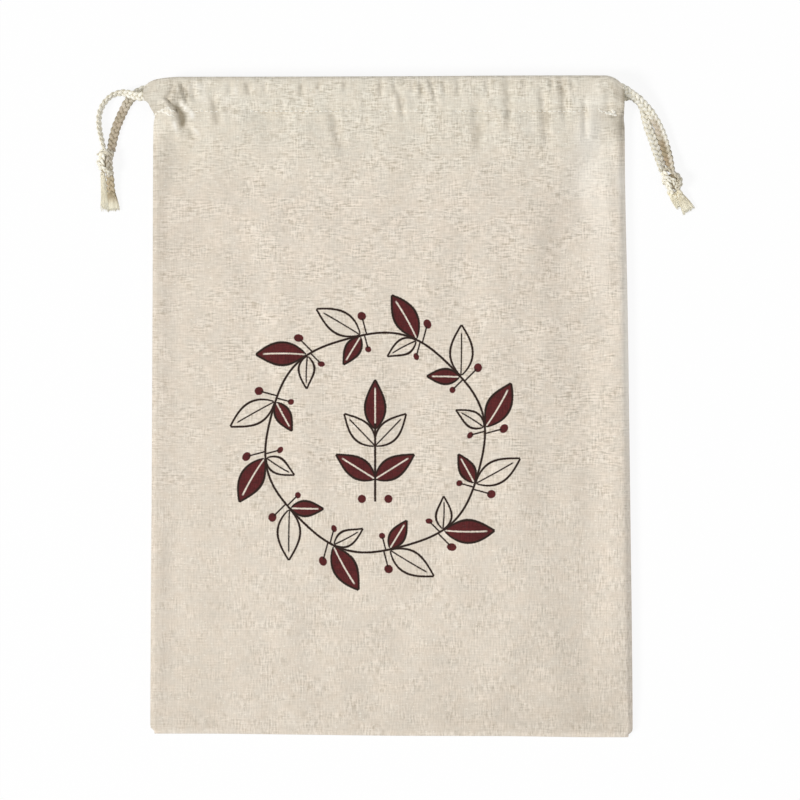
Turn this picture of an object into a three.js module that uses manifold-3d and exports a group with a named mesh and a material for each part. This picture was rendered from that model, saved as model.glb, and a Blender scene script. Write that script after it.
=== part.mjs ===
// Drawstring storage bag of natural cotton-linen, lying flat on its back.
//
// One cloth is folded at the foot, seamed at both sides and turned over at the top into a
// front and a back casing. Two flat plaited cords run right round through both casings.
// Each has its two ends out at its own side, held by an overhand knot with short tails.
//
// Millimetres. X runs across the bag, Y up to its mouth and Z up from the surface it lies on.
// The origin is at the centre of its underside.

import * as THREE from 'three';
import Module from 'manifold-3d';

// ---------------------------------------------------------------- driving dimensions

const CLOTH = 1.0;             // thickness of the cloth
const TOP = 200;               // the fold at the top of the casings
const FOOT = -200;             // the fold at the foot
const STITCH = TOP - 22;       // the stitch line under the casings
const HEM_EDGE = STITCH - 1.5; // the raw edge of the cloth turned in
const CHANNEL = { front: 4.3, back: 3.4 }; // clear height inside each casing
const MOUTH = { middle: 4.4, end: 3.0, from: 85, to: 135 }; // opening between the two hems
const HEM = { halfWidth: 128, straightTo: 108 }; // it stops short, so that a cord can turn round it
const LAP = 0.6;               // clear height between two cloths beside a stitch line
const FOLD_OVER_CORDS = 0.85;  // the deepest that a fold goes where a cord lies under it
const SEAM = { bead: 2, allowance: 9, lift: 0.4 };
const CORD = { width: 5.9, thick: 2.4, sides: 8 };

// The two side edges, from the foot to the top fold.
const EDGES = [
  { y: -200, left: -141.6, right: 145.2 },
  { y: -198, left: -143.3, right: 147.0 },
  { y: -194, left: -143.9, right: 147.6 },
  { y: -140, left: -143.7, right: 147.2 },
  { y: -60, left: -143.2, right: 146.2 },
  { y: 60, left: -142.6, right: 144.6 },
  { y: 140, left: -142.3, right: 143.0 },
  { y: 168, left: -142.1, right: 142.8 },
  { y: 175, left: -141.6, right: 142.2 },
  { y: 178, left: -142.9, right: 142.5 },
  { y: 181, left: -143.7, right: 142.5 },
  { y: 184, left: -144.9, right: 142.5 },
  { y: 186.5, left: -147.2, right: 142.5 },
  { y: 190, left: -147.9, right: 142.6 },
  { y: 195, left: -147.8, right: 142.6 },
  { y: 200, left: -146.0, right: 142.0 },
];

// Clear height under the front cloth, by the distance in from each side edge.
const SIDE_GAP = [
  { inward: 0, left: 0.4, right: 0.4 },
  { inward: 1.5, left: 1.8, right: 1.6 },
  { inward: 4, left: 3.3, right: 3.4 },
  { inward: 8, left: 3.1, right: 4.4 },
  { inward: 12, left: 3.0, right: 4.5 },
  { inward: 22, left: 4.2, right: 4.4 },
  { inward: 35, left: 6.0, right: 5.3 },
  { inward: 55, left: 9.0, right: 8.4 },
  { inward: 80, left: 10.3, right: 10.2 },
  { inward: 110, left: 10.5, right: 10.5 },
];

// Clear height under the front cloth, by the distance up from the foot.
const FOOT_GAP = [
  { up: 0, gap: 1.3 },
  { up: 4, gap: 2.2 },
  { up: 12, gap: 3.6 },
  { up: 25, gap: 5.4 },
  { up: 50, gap: 8.4 },
  { up: 85, gap: 10.3 },
  { up: 120, gap: 10.5 },
];

// Folds drawn into the front cloth by its cords, each a trough from its head to its tail.
const FOLDS = [
  { name: 'corner pucker', headX: -132, headY: 191, tailX: -126, tailY: 171, half: 3.4, depth: 1.6 },
  { name: 'corner dimple', headX: -124, headY: 192, tailX: -125, tailY: 166, half: 4.2, depth: 1.9 },
  { name: 'left', headX: -105, headY: 188, tailX: -103, tailY: 168, half: 3.2, depth: 0.8 },
  { name: 'left slant', headX: -85, headY: 199, tailX: -80, tailY: 174, half: 3.0, depth: 0.8 },
  { name: 'left of middle', headX: -36, headY: 180, tailX: -27, tailY: 152, half: 3.6, depth: 0.8 },
  { name: 'middle', headX: 4, headY: 199, tailX: 10, tailY: 172, half: 3.0, depth: 0.8 },
  { name: 'right of middle', headX: 22, headY: 199, tailX: 30, tailY: 168, half: 3.2, depth: 1.1 },
  { name: 'long soft', headX: 53, headY: 184, tailX: 54.5, tailY: 152, half: 3.6, depth: 0.9 },
  { name: 'soft', headX: 72, headY: 199, tailX: 73, tailY: 165, half: 3.4, depth: 0.7 },
  { name: 'right slant', headX: 92, headY: 189, tailX: 96, tailY: 156, half: 3.4, depth: 1.2 },
  { name: 'right', headX: 104.5, headY: 199, tailX: 107.5, tailY: 172, half: 3.2, depth: 1.1 },
];

// Broad swells and hollows of the empty body.
const SWELLS = [
  { x: -70, y: 70, halfX: 70, halfY: 90, height: 0.5 },
  { x: 50, y: 40, halfX: 45, halfY: 110, height: -0.4 },
  { x: -75, y: -125, halfX: 32, halfY: 26, height: 0.5 },
  { x: 20, y: -110, halfX: 60, halfY: 40, height: 0.3 },
  { x: 100, y: -160, halfX: 45, halfY: 30, height: -0.5 },
];

// Routes of the two cords, from knot to knot: x, y and z of the middle of the cord, and the
// lean of its flat face in degrees. 0 and 180 lie flat, and 90 stands on edge.
const LEFT_CORD = [
  // the outer strand, almost on edge, from the knot up and over the inner one to the casing
  [-172.0, 154.8, 3.2, 84], [-173.3, 160.6, 3.1, 76], [-174.8, 166.8, 3.05, 72],
  [-175.3, 173.0, 3.05, 70], [-174.3, 179.0, 3.05, 70], [-171.6, 184.2, 3.1, 70],
  [-167.9, 187.6, 3.6, 70], [-163.4, 189.3, 4.7, 64], [-158.8, 189.3, 6.3, 48],
  [-154.6, 188.0, 8.1, 30], [-150.4, 187.1, 9.7, 18], [-146.2, 187.2, 10.9, 12],
  // through the front casing, in its lower lane
  [-138.0, 185.5, 11.25, 0], [-128.0, 185.4, 11.2, 0], [-115.0, 185.4, 11.65, 0],
  [-100.0, 185.4, 12.25, 0], [-85.0, 185.4, 12.55, 0], [0.0, 185.4, 12.55, 0],
  [85.0, 185.4, 12.55, 0], [100.0, 185.4, 12.25, 0], [115.0, 185.4, 11.65, 0],
  [130.0, 185.3, 11.2, 0],
  // round the ends of the hems, at the right
  [135.1, 186.4, 9.95, 45], [137.1, 189.5, 6.95, 90], [135.1, 192.6, 4.0, 135],
  // back through the back casing, in its upper lane
  [130.0, 193.6, 2.85, 180], [116.0, 193.6, 2.75, 180], [60.0, 193.6, 2.7, 180],
  [-60.0, 193.6, 2.7, 180], [-135.0, 193.5, 2.7, 180], [-142.0, 192.8, 2.7, 180],
  // the inner strand, lying flat, out from under the outer one and down to the knot
  [-147.4, 191.4, 2.65, 180], [-151.8, 189.7, 2.2, 180], [-155.4, 187.0, 1.5, 180],
  [-158.2, 183.2, 1.4, 180], [-160.6, 178.8, 1.4, 180], [-162.8, 174.0, 1.4, 180],
  [-164.8, 168.8, 1.4, 180], [-166.3, 163.6, 1.5, 180], [-167.3, 159.0, 2.0, 172],
  [-167.8, 154.8, 3.2, 150],
];
const RIGHT_CORD = [
  // the outer strand, from the knot up to the casing, leaning toward the inner one
  [171.3, 142.0, 3.6, -54], [170.3, 147.6, 3.2, -40], [168.8, 153.8, 2.9, -26],
  [166.7, 161.0, 2.8, -15], [163.9, 168.2, 3.1, -10], [160.8, 174.0, 3.8, -8],
  [157.2, 179.2, 5.0, -4], [152.8, 183.8, 6.4, 0], [147.8, 187.6, 8.0, 0],
  [143.0, 190.9, 9.95, 0], [137.4, 193.4, 11.25, 0],
  // through the front casing, in its upper lane
  [129.0, 193.6, 11.2, 0], [115.0, 193.6, 11.65, 0], [100.0, 193.6, 12.25, 0],
  [85.0, 193.6, 12.55, 0], [0.0, 193.6, 12.55, 0], [-85.0, 193.6, 12.55, 0],
  [-100.0, 193.6, 12.25, 0], [-115.0, 193.6, 11.65, 0], [-130.0, 193.7, 11.2, 0],
  // round the ends of the hems, at the left
  [-135.1, 192.6, 9.95, 45], [-137.1, 189.4, 7.05, 90], [-135.1, 186.3, 4.05, 135],
  // back through the back casing, in its lower lane
  [-130.0, 185.4, 2.85, 180], [-116.0, 185.4, 2.75, 180], [-60.0, 185.4, 2.7, 180],
  [60.0, 185.4, 2.7, 180], [134.0, 185.1, 2.7, 180], [140.8, 186.6, 2.6, 180],
  // the inner strand, out from under the outer one and down to the knot
  [145.8, 188.2, 2.4, 180], [150.2, 186.8, 2.0, 180], [153.4, 183.2, 1.7, 179],
  [155.1, 178.4, 1.6, 177], [156.2, 173.2, 1.65, 174], [157.8, 167.4, 1.8, 170],
  [159.9, 161.4, 2.0, 166], [162.1, 155.0, 2.3, 158], [164.1, 148.6, 2.8, 146],
  [166.0, 142.0, 3.6, 130],
];

// Overhand knots, lying on the surface: middle, half sizes and turn about Z.
const KNOTS = [
  { side: 'left', x: -171.2, y: 147.0, halfX: 5.1, halfY: 7.4, height: 8.0, turn: 4 },
  { side: 'right', x: 172.0, y: 136.0, halfX: 5.7, halfY: 5.7, height: 8.2, turn: 20 },
];

// The two tails below each knot, lying together: their middle line, width and height.
const TAILS = {
  left: [
    { x: -170.6, y: 139.2, width: 6.0, height: 4.4 },
    { x: -170.1, y: 134.2, width: 7.2, height: 5.0 },
    { x: -169.6, y: 128.8, width: 8.8, height: 4.4 },
    { x: -169.3, y: 124.2, width: 9.9, height: 3.6 },
    { x: -169.2, y: 118.0, width: 10.8, height: 2.6 },
  ],
  right: [
    { x: 173.6, y: 130.0, width: 8.4, height: 4.6 },
    { x: 175.0, y: 126.4, width: 10.0, height: 4.8 },
    { x: 177.0, y: 122.2, width: 11.6, height: 4.2 },
    { x: 179.4, y: 117.4, width: 12.6, height: 2.6 },
  ],
};

// ---------------------------------------------------------------- helpers

const mix = (a, b, share) => a + (b - a) * share;

function ease(from, to, value) {
  const share = THREE.MathUtils.clamp((value - from) / (to - from), 0, 1);
  return share * share * (3 - 2 * share);
}

// Reads one column of a table at a value of its key column, with straight runs between rows.
function readTable(table, key, column, value) {
  let next = table.findIndex((row) => row[key] >= value);
  if (next < 0) next = table.length - 1;
  if (next === 0) return table[0][column];
  const low = table[next - 1];
  const high = table[next];
  const share = Math.min((value - low[key]) / (high[key] - low[key]), 1);
  return mix(low[column], high[column], share);
}

// The lower of two heights, with a soft change from one to the other.
function softLower(a, b) {
  const sharpness = 1.6;
  return -Math.log(Math.exp(-a * sharpness) + Math.exp(-b * sharpness)) / sharpness;
}

const inwardFromSide = (x, y) => ({
  left: x - readTable(EDGES, 'y', 'left', y),
  right: readTable(EDGES, 'y', 'right', y) - x,
});

// ---------------------------------------------------------------- heights of the cloth

const BACK = CLOTH / 2;                         // middle of the back cloth
const BACK_HEM = BACK + CLOTH + CHANNEL.back;       // middle of the hem inside the back casing
const BACK_HEM_SEWN = BACK + CLOTH + LAP;

const mouthGap = (x) => mix(MOUTH.middle, MOUTH.end, ease(MOUTH.from, MOUTH.to, Math.abs(x)));
const frontHem = (x) => BACK_HEM + CLOTH + mouthGap(x);
const frontCasing = (x) => frontHem(x) + CLOTH + CHANNEL.front;

// The hem where it is stitched to the front cloth, which the side seams hold down at its ends.
function frontHemSewn(x) {
  const heldDown = BACK_HEM_SEWN + CLOTH + LAP;
  const free = frontHem(x) + 1.4;
  const inward = inwardFromSide(x, STITCH);
  return mix(heldDown, free, ease(0, 40, Math.min(inward.left, inward.right)));
}

function foldDepth(x, y) {
  let depth = 0;
  for (const fold of FOLDS) {
    const along = (fold.headY - y) / (fold.headY - fold.tailY);
    const reach = ease(-0.25, 0.15, along) * (1 - ease(0.7, 1.25, along));
    const off = (x - mix(fold.headX, fold.tailX, along)) / fold.half;
    depth += fold.depth * reach * Math.exp(-off * off);
  }
  // the cords inside the casing hold a fold up
  return Math.min(depth, mix(depth, FOLD_OVER_CORDS, ease(STITCH, STITCH + 2, y)));
}

const frontHemFolded = (x) => frontHemSewn(x) - foldDepth(x, STITCH);

function swellHeight(x, y) {
  return SWELLS.reduce((sum, swell) => {
    const across = (x - swell.x) / swell.halfX;
    const up = (y - swell.y) / swell.halfY;
    return sum + swell.height * Math.exp(-across * across - up * up);
  }, 0);
}

// Middle of the front cloth between the stitch line and the foot.
function frontBody(x, y) {
  const inward = inwardFromSide(x, y);
  const side = Math.min(
    readTable(SIDE_GAP, 'inward', 'left', Math.max(inward.left, 0)),
    readTable(SIDE_GAP, 'inward', 'right', Math.max(inward.right, 0)),
  );
  const foot = readTable(FOOT_GAP, 'up', 'gap', y - FOOT);
  const nearest = Math.min(inward.left, inward.right);
  const lying = BACK + CLOTH + softLower(side, foot) + swellHeight(x, y) * ease(6, 40, nearest);
  const slopeLength = mix(12, 60, ease(0, 45, nearest));
  const lift = ease(0, slopeLength, slopeLength - (STITCH - y));
  return mix(lying, frontHemSewn(x) + CLOTH + LAP, lift);
}

// How far a casing has opened out at a height above its stitch line.
const casingLift = (y) => ease(STITCH, STITCH + 4.4, y);

// Middle of the front cloth over the cords.
function frontOverCords(x, y) {
  const sewn = frontHemSewn(x) + CLOTH + LAP;
  return mix(sewn, frontCasing(x), casingLift(y));
}

// The top edge falls away to both ends of the casings.
function topAt(x) {
  const left = Math.max(-126 - x, 0) / 20;
  const right = Math.max(x - 131, 0) / 11;
  return TOP - 3.6 * left ** 1.7 - 4.4 * right ** 1.7;
}

// ---------------------------------------------------------------- the cloth, as one strip

// Rows across the bag, from the raw edge of the front hem, over the top, down the front,
// round the foot, up the back and over the top again to the raw edge of the back hem.
// turn is the angle round a fold in degrees, from the cloth under it to the cloth over it.
const ROWS = [
  { run: 'front hem', y: HEM_EDGE }, { run: 'front hem', y: STITCH },
  { run: 'front hem', y: STITCH + 2 }, { run: 'front hem', y: STITCH + 4.4 },
  { run: 'front hem', y: 195.6 },
  { run: 'front top', turn: -50 }, { run: 'front top', turn: 0 }, { run: 'front top', turn: 50 },
  { run: 'front casing', y: 195.6 }, { run: 'front casing', y: 189 },
  { run: 'front casing', y: STITCH + 4.4 }, { run: 'front casing', y: STITCH + 2 },
  { run: 'front body', y: STITCH }, { run: 'front body', y: 174 },
  { run: 'front body', y: 168 }, { run: 'front body', y: 158 }, { run: 'front body', y: 146 },
  { run: 'front body', y: 128 }, { run: 'front body', y: 95 }, { run: 'front body', y: 50 },
  { run: 'front body', y: -10 }, { run: 'front body', y: -75 },
  { run: 'front body', y: -140 }, { run: 'front body', y: -165 },
  { run: 'front body', y: -182 }, { run: 'front body', y: -192 },
  { run: 'foot', turn: 90 }, { run: 'foot', turn: 40 }, { run: 'foot', turn: 0 },
  { run: 'foot', turn: -40 },
  { run: 'back', y: -197.5 }, { run: 'back', y: -60 }, { run: 'back', y: 100 },
  { run: 'back', y: STITCH }, { run: 'back', y: 190 }, { run: 'back', y: 195.6 },
  { run: 'back top', turn: -50 }, { run: 'back top', turn: 0 }, { run: 'back top', turn: 50 },
  { run: 'back hem', y: 195.6 }, { run: 'back hem', y: STITCH + 4.4 },
  { run: 'back hem', y: STITCH + 2 }, { run: 'back hem', y: STITCH },
  { run: 'back hem', y: HEM_EDGE },
];
const TOP_FOLD_REACH = 2.6; // how far a top fold reaches in Y past the straight cloth
const FOOT_FOLD_REACH = 1.9;

// Columns up the bag: three at each fold, and a coarse run between.
function columnPlaces() {
  const left = -147;
  const right = 142;
  const places = [0, 1.5, 4, 8, 13].flatMap((inward) => [left + inward, right - inward]);
  for (const fold of FOLDS) {
    const middle = (fold.headX + fold.tailX) / 2;
    places.push(middle - fold.half * 1.2, middle, middle + fold.half * 1.2);
  }
  for (let x = left; x < right; x += 21) places.push(x);
  places.sort((a, b) => a - b);
  const spaced = places.filter((x, i) => i === 0 || x - places[i - 1] > 1.4);
  return spaced.map((x) => (x - spaced[0]) / (spaced.at(-1) - spaced[0]));
}

// Where a point of the outer cloth lies across the bag once it is turned into the hem.
function tuckedIn(x, edge) {
  const beyond = Math.max(Math.abs(x) - HEM.straightTo, 0);
  const scale = (HEM.halfWidth - HEM.straightTo) / (edge - HEM.straightTo);
  return Math.sign(x) * (Math.abs(x) - beyond * (1 - scale));
}

// Middle of the cloth at one row, a share of the way across.
function clothPoint(row, share) {
  const angle = THREE.MathUtils.degToRad(row.turn ?? 0);
  const atTop = row.run.endsWith('top');
  const nominalY = row.y ?? (atTop ? TOP : FOOT);
  const turnedIn = row.run.endsWith('hem') ? 1 : 0;
  const towardHem = row.run === 'front top' ? -angle : angle;
  const hemShare = atTop ? (1 + Math.sin(towardHem)) / 2 : turnedIn;
  const left = readTable(EDGES, 'y', 'left', nominalY);
  const right = readTable(EDGES, 'y', 'right', nominalY);
  const outerX = mix(left, right, share);
  const x = mix(outerX, tuckedIn(outerX, outerX < 0 ? -left : right), hemShare);
  const fallen = (y) => (y > STITCH ? STITCH + (y - STITCH) * (topAt(x) - STITCH) / (TOP - STITCH) : y);
  const round = (low, high, middleY, reach) => new THREE.Vector3(
    x,
    middleY + reach * Math.cos(angle),
    (low + high) / 2 + (high - low) / 2 * Math.sin(angle),
  );
  const foldMiddle = fallen(TOP - CLOTH / 2 - TOP_FOLD_REACH);
  switch (row.run) {
    case 'front hem':
      return new THREE.Vector3(x, fallen(row.y), mix(frontHemFolded(x), frontHem(x), casingLift(row.y)));
    case 'front top':
      return round(frontHem(x), frontCasing(x) - foldDepth(x, TOP), foldMiddle, TOP_FOLD_REACH);
    case 'front casing':
      return new THREE.Vector3(x, fallen(row.y), frontOverCords(x, row.y) - foldDepth(x, row.y));
    case 'front body':
      return new THREE.Vector3(x, row.y, frontBody(x, row.y) - foldDepth(x, row.y));
    case 'foot':
      return round(BACK, frontBody(x, FOOT), FOOT + CLOTH / 2 + FOOT_FOLD_REACH, -FOOT_FOLD_REACH);
    case 'back':
      return new THREE.Vector3(x, fallen(row.y), BACK);
    case 'back top':
      return round(BACK, BACK_HEM, foldMiddle, TOP_FOLD_REACH);
    default:
      return new THREE.Vector3(x, fallen(row.y), mix(BACK_HEM_SEWN, BACK_HEM, casingLift(row.y)));
  }
}

// Closed body of a grid of points, thickened to both sides of it.
function thickenedGrid(grid, thickness) {
  const rows = grid.length;
  const columns = grid[0].length;
  const clampRow = (i) => THREE.MathUtils.clamp(i, 0, rows - 1);
  const clampColumn = (j) => THREE.MathUtils.clamp(j, 0, columns - 1);
  const positions = [];
  const offset = (i, j, side) => {
    const along = grid[clampRow(i + 1)][j].clone().sub(grid[clampRow(i - 1)][j]);
    const across = grid[i][clampColumn(j + 1)].clone().sub(grid[i][clampColumn(j - 1)]);
    const normal = along.cross(across).normalize();
    return grid[i][j].clone().addScaledVector(normal, side * thickness / 2);
  };
  for (const side of [1, -1]) {
    for (let i = 0; i < rows; i += 1) {
      for (let j = 0; j < columns; j += 1) positions.push(...offset(i, j, side).toArray());
    }
  }
  const at = (i, j, layer) => (layer * rows + i) * columns + j;
  const index = [];
  const quad = (a, b, c, d) => index.push(a, b, c, a, c, d);
  for (let i = 0; i < rows - 1; i += 1) {
    for (let j = 0; j < columns - 1; j += 1) {
      quad(at(i, j, 0), at(i + 1, j, 0), at(i + 1, j + 1, 0), at(i, j + 1, 0));
      quad(at(i, j, 1), at(i, j + 1, 1), at(i + 1, j + 1, 1), at(i + 1, j, 1));
    }
    quad(at(i, 0, 0), at(i, 0, 1), at(i + 1, 0, 1), at(i + 1, 0, 0));
    const last = columns - 1;
    quad(at(i, last, 0), at(i + 1, last, 0), at(i + 1, last, 1), at(i, last, 1));
  }
  for (let j = 0; j < columns - 1; j += 1) {
    quad(at(0, j, 0), at(0, j + 1, 0), at(0, j + 1, 1), at(0, j, 1));
    const end = rows - 1;
    quad(at(end, j, 0), at(end, j, 1), at(end, j + 1, 1), at(end, j + 1, 0));
  }
  return indexedGeometry(positions, index);
}

function indexedGeometry(positions, index) {
  const geometry = new THREE.BufferGeometry();
  geometry.setAttribute('position', new THREE.Float32BufferAttribute(positions, 3));
  geometry.setIndex(index);
  return geometry;
}

// Closed body through rings of equal length, each a loop of points that runs
// anticlockwise when seen from the end of the row of rings.
function loft(rings) {
  const size = rings[0].length;
  const positions = rings.flat().flatMap((point) => point.toArray());
  const index = [];
  for (let i = 0; i < rings.length - 1; i += 1) {
    for (let j = 0; j < size; j += 1) {
      const a = i * size + j;
      const b = i * size + (j + 1) % size;
      index.push(a, b, b + size, a, b + size, a + size);
    }
  }
  const last = (rings.length - 1) * size;
  for (let j = 1; j < size - 1; j += 1) {
    index.push(0, j + 1, j);
    index.push(last, last + j, last + j + 1);
  }
  return indexedGeometry(positions, index);
}

// ---------------------------------------------------------------- joining

const wasm = await Module();
wasm.setup();

function toManifold(geometry) {
  return new wasm.Manifold(new wasm.Mesh({
    numProp: 3,
    vertProperties: Float32Array.from(geometry.attributes.position.array),
    triVerts: Uint32Array.from(geometry.index.array),
  }));
}

function fromManifold(solid) {
  const mesh = solid.getMesh();
  return indexedGeometry(Array.from(mesh.vertProperties), Array.from(mesh.triVerts));
}

// ---------------------------------------------------------------- seams and stitch lines

// Joins the front and back cloths along one side, with the allowance turned inside.
function sideSeam(side) {
  const inward = side === 'left' ? 1 : -1;
  const places = [-199.2, -198, -194, -190, -150, -90, -30, 30, 90, 140, 160, 168, 172, 175, 177];
  const ring = (y, near, far, low, high) => {
    const edge = readTable(EDGES, 'y', side, y);
    const xs = [edge + inward * near, edge + inward * far];
    const [outer, inner] = inward > 0 ? xs : xs.reverse();
    return [
      new THREE.Vector3(outer, y, low), new THREE.Vector3(outer, y, high),
      new THREE.Vector3(inner, y, high), new THREE.Vector3(inner, y, low),
    ];
  };
  const bead = loft(places.map((y) => {
    const edge = readTable(EDGES, 'y', side, y);
    const under = frontBody(edge + inward * 0.8, y);
    return ring(y, 0.1, SEAM.bead, BACK, under);
  }));
  const low = CLOTH + SEAM.lift;
  const flap = loft(places.filter((y) => y > -195 && y < 170)
    .map((y) => ring(y, SEAM.bead / 2, SEAM.allowance, low, low + CLOTH)));
  return [bead, flap];
}

// Joins a hem to the cloth it is turned in from, along the stitch line.
function stitchLine(places, hemHeight, clothHeight) {
  const half = 0.8;
  return loft(places.map((x) => {
    const low = Math.min(hemHeight(x), clothHeight(x));
    const high = Math.max(hemHeight(x), clothHeight(x));
    return [
      new THREE.Vector3(x, STITCH - half, low), new THREE.Vector3(x, STITCH + half, low),
      new THREE.Vector3(x, STITCH + half, high), new THREE.Vector3(x, STITCH - half, high),
    ];
  }));
}

function bagCloth() {
  const shares = columnPlaces();
  const grid = ROWS.map((row) => shares.map((share) => clothPoint(row, share)));
  const sewnRow = grid[ROWS.findIndex((row) => row.run === 'front body' && row.y === STITCH)];
  const sewnEnd = HEM.halfWidth - 0.4;
  const sewnPlaces = sewnRow.map((point) => point.x).filter((x) => Math.abs(x) < sewnEnd - 0.5);
  const places = [-sewnEnd, ...sewnPlaces, sewnEnd];
  const joins = [
    ...sideSeam('left'),
    ...sideSeam('right'),
    stitchLine(places, frontHemFolded, (x) => frontHemFolded(x) + CLOTH + LAP),
    stitchLine(places, () => BACK_HEM_SEWN, () => BACK),
  ];
  const cloth = toManifold(thickenedGrid(grid, CLOTH));
  return fromManifold(joins.reduce((whole, join) => whole.add(toManifold(join)), cloth));
}

// ---------------------------------------------------------------- cords, knots and tails

// The middle line of a flat cord, which also says how its flat face leans along the way.
class FlatCordPath extends THREE.CatmullRomCurve3 {
  constructor(route) {
    super(route.map(([x, y, z]) => new THREE.Vector3(x, y, z)));
    this.leans = route.map((row) => row[3]);
  }

  // Stations at equal shares between the route's own points, so tight turns get short steps.
  getSpacedPoints(steps) {
    return this.getPoints(steps);
  }

  computeFrenetFrames(steps) {
    const frames = { tangents: [], normals: [], binormals: [] };
    for (let step = 0; step <= steps; step += 1) {
      const share = step / steps;
      const place = share * (this.leans.length - 1);
      const before = Math.min(Math.floor(place), this.leans.length - 2);
      const lean = mix(this.leans[before], this.leans[before + 1], place - before);
      const tangent = this.getTangent(share);
      const level = new THREE.Vector3(0, 0, 1).cross(tangent).normalize();
      const turn = THREE.MathUtils.degToRad(lean);
      const width = level.applyAxisAngle(tangent, turn);
      frames.tangents.push(tangent);
      frames.normals.push(width);
      frames.binormals.push(tangent.clone().cross(width));
    }
    return frames;
  }
}

// Flat plaited cord, with a rounded oval section.
function drawcord(route) {
  const section = new THREE.Shape();
  for (let side = 0; side < CORD.sides; side += 1) {
    const angle = (side + 0.5) / CORD.sides * Math.PI * 2;
    const reach = 1 / Math.cos(Math.PI / CORD.sides);
    const across = CORD.width / 2 * reach * Math.cos(angle);
    const through = CORD.thick / 2 * reach * Math.sin(angle);
    if (side === 0) section.moveTo(across, through);
    else section.lineTo(across, through);
  }
  return new THREE.ExtrudeGeometry(section, {
    steps: 2 * (route.length - 1), bevelEnabled: false, extrudePath: new FlatCordPath(route),
  });
}

// A knot's plain outer form, with a flat underside where it lies.
function knotBody(knot) {
  const geometry = new THREE.SphereGeometry(1, 20, 12);
  const waist = (up) => 1 - 0.12 * Math.exp(-((up / 0.35) ** 2));
  const position = geometry.attributes.position;
  for (let i = 0; i < position.count; i += 1) {
    const [x, y, z] = [position.getX(i), position.getY(i), position.getZ(i)];
    position.setXYZ(
      i,
      x * knot.halfX * waist(y),
      y * knot.halfY,
      Math.max(knot.height / 2 * (1 + z * 1.08) - 0.32, 0),
    );
  }
  geometry.rotateZ(THREE.MathUtils.degToRad(knot.turn));
  return geometry;
}

// Two tails lying side by side, as one body that widens to their frayed ends.
function tailsBody(stations) {
  const sides = 12;
  const first = stations[0];
  const last = stations.at(-1);
  const heading = Math.atan2(last.y - first.y, last.x - first.x);
  const rings = stations.map(({ x, y, width, height }) => {
    const ring = [];
    for (let side = 0; side < sides; side += 1) {
      const angle = side / sides * Math.PI * 2;
      const across = width / 2 * Math.cos(angle);
      ring.push(new THREE.Vector3(
        x - across * Math.sin(heading),
        y + across * Math.cos(heading),
        height / 2 * (1 + Math.sin(angle)),
      ));
    }
    return ring;
  });
  return loft(rings);
}

// ---------------------------------------------------------------- the bag

const cottonLinen = { color: 0xddd2c3, roughness: 0.95, metalness: 0 };
const plaitedCotton = { color: 0xcfc5af, roughness: 0.9, metalness: 0 };

const bag = new THREE.Group();

function addPiece(name, geometry, finish) {
  const mesh = new THREE.Mesh(geometry, new THREE.MeshStandardMaterial(finish));
  mesh.name = name;
  bag.add(mesh);
  return mesh;
}

addPiece('bag_cloth', bagCloth(), cottonLinen);
addPiece('drawcord_left', drawcord(LEFT_CORD), plaitedCotton);
addPiece('drawcord_right', drawcord(RIGHT_CORD), plaitedCotton);
for (const knot of KNOTS) {
  addPiece(`knot_${knot.side}`, knotBody(knot), plaitedCotton).position.set(knot.x, knot.y, 0);
  addPiece(`tails_${knot.side}`, tailsBody(TAILS[knot.side]), plaitedCotton);
}

export default bag;
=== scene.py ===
"""The looks of a drawstring storage bag of natural cotton-linen that lies flat on its back.

Everything is in metres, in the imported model's frame: X across the bag, Y up to its mouth, Z up
from the surface that it lies on. Sizes that are written in millimetres are multiplied by MM.
"""

import math

import bpy
import numpy as np
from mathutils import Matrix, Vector


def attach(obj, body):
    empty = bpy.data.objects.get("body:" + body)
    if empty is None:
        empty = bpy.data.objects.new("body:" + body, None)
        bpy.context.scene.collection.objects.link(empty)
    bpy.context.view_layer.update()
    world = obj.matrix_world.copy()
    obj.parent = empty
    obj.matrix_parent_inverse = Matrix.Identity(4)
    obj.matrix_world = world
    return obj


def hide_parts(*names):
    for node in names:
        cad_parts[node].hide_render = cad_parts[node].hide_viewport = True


MM = 0.001
UP = np.array([0.0, 0.0, 1.0])

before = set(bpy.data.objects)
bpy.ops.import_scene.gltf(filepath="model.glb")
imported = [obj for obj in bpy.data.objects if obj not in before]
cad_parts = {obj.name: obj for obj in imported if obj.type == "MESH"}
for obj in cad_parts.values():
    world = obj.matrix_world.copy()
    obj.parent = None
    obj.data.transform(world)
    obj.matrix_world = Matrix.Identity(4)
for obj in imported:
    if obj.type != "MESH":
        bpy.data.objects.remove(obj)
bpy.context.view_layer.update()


# ---------------------------------------------------------------- small helpers


def mix(a, b, share):
    """a where share is 0, b where it is 1."""
    return a + (b - a) * share


def ease(start, end, value):
    """0 before start, 1 after end, and a smooth change between them."""
    share = np.clip((value - start) / (end - start), 0.0, 1.0)
    return share * share * (3.0 - 2.0 * share)


def bell(value, middle, half):
    """1 at the middle, falling away smoothly over about half on each side."""
    return np.exp(-(((value - middle) / half) ** 2))


def stretch(start, end, fade, value):
    """1 from start to end, falling away smoothly over fade before and after."""
    return ease(start - fade, start, value) * (1 - ease(end, end + fade, value))


def spots(rows, x, y):
    """The sum of soft spots, each given as x, y, its two half sizes and its strength."""
    return sum(
        strength * bell(x, spot_x, half_x) * bell(y, spot_y, half_y)
        for spot_x, spot_y, half_x, half_y, strength in rows
    )


def unit(vectors):
    """Each row of an array of vectors, made one unit long."""
    return vectors / np.maximum(np.linalg.norm(vectors, axis=-1, keepdims=True), 1e-12)


def distances_along(line):
    """How far along a line each of its points is."""
    return np.concatenate([[0], np.cumsum(np.linalg.norm(np.diff(line, axis=0), axis=1))])


def tangents_of(line):
    """The direction along a line at each of its points."""
    return unit(np.gradient(line, axis=0))


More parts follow.
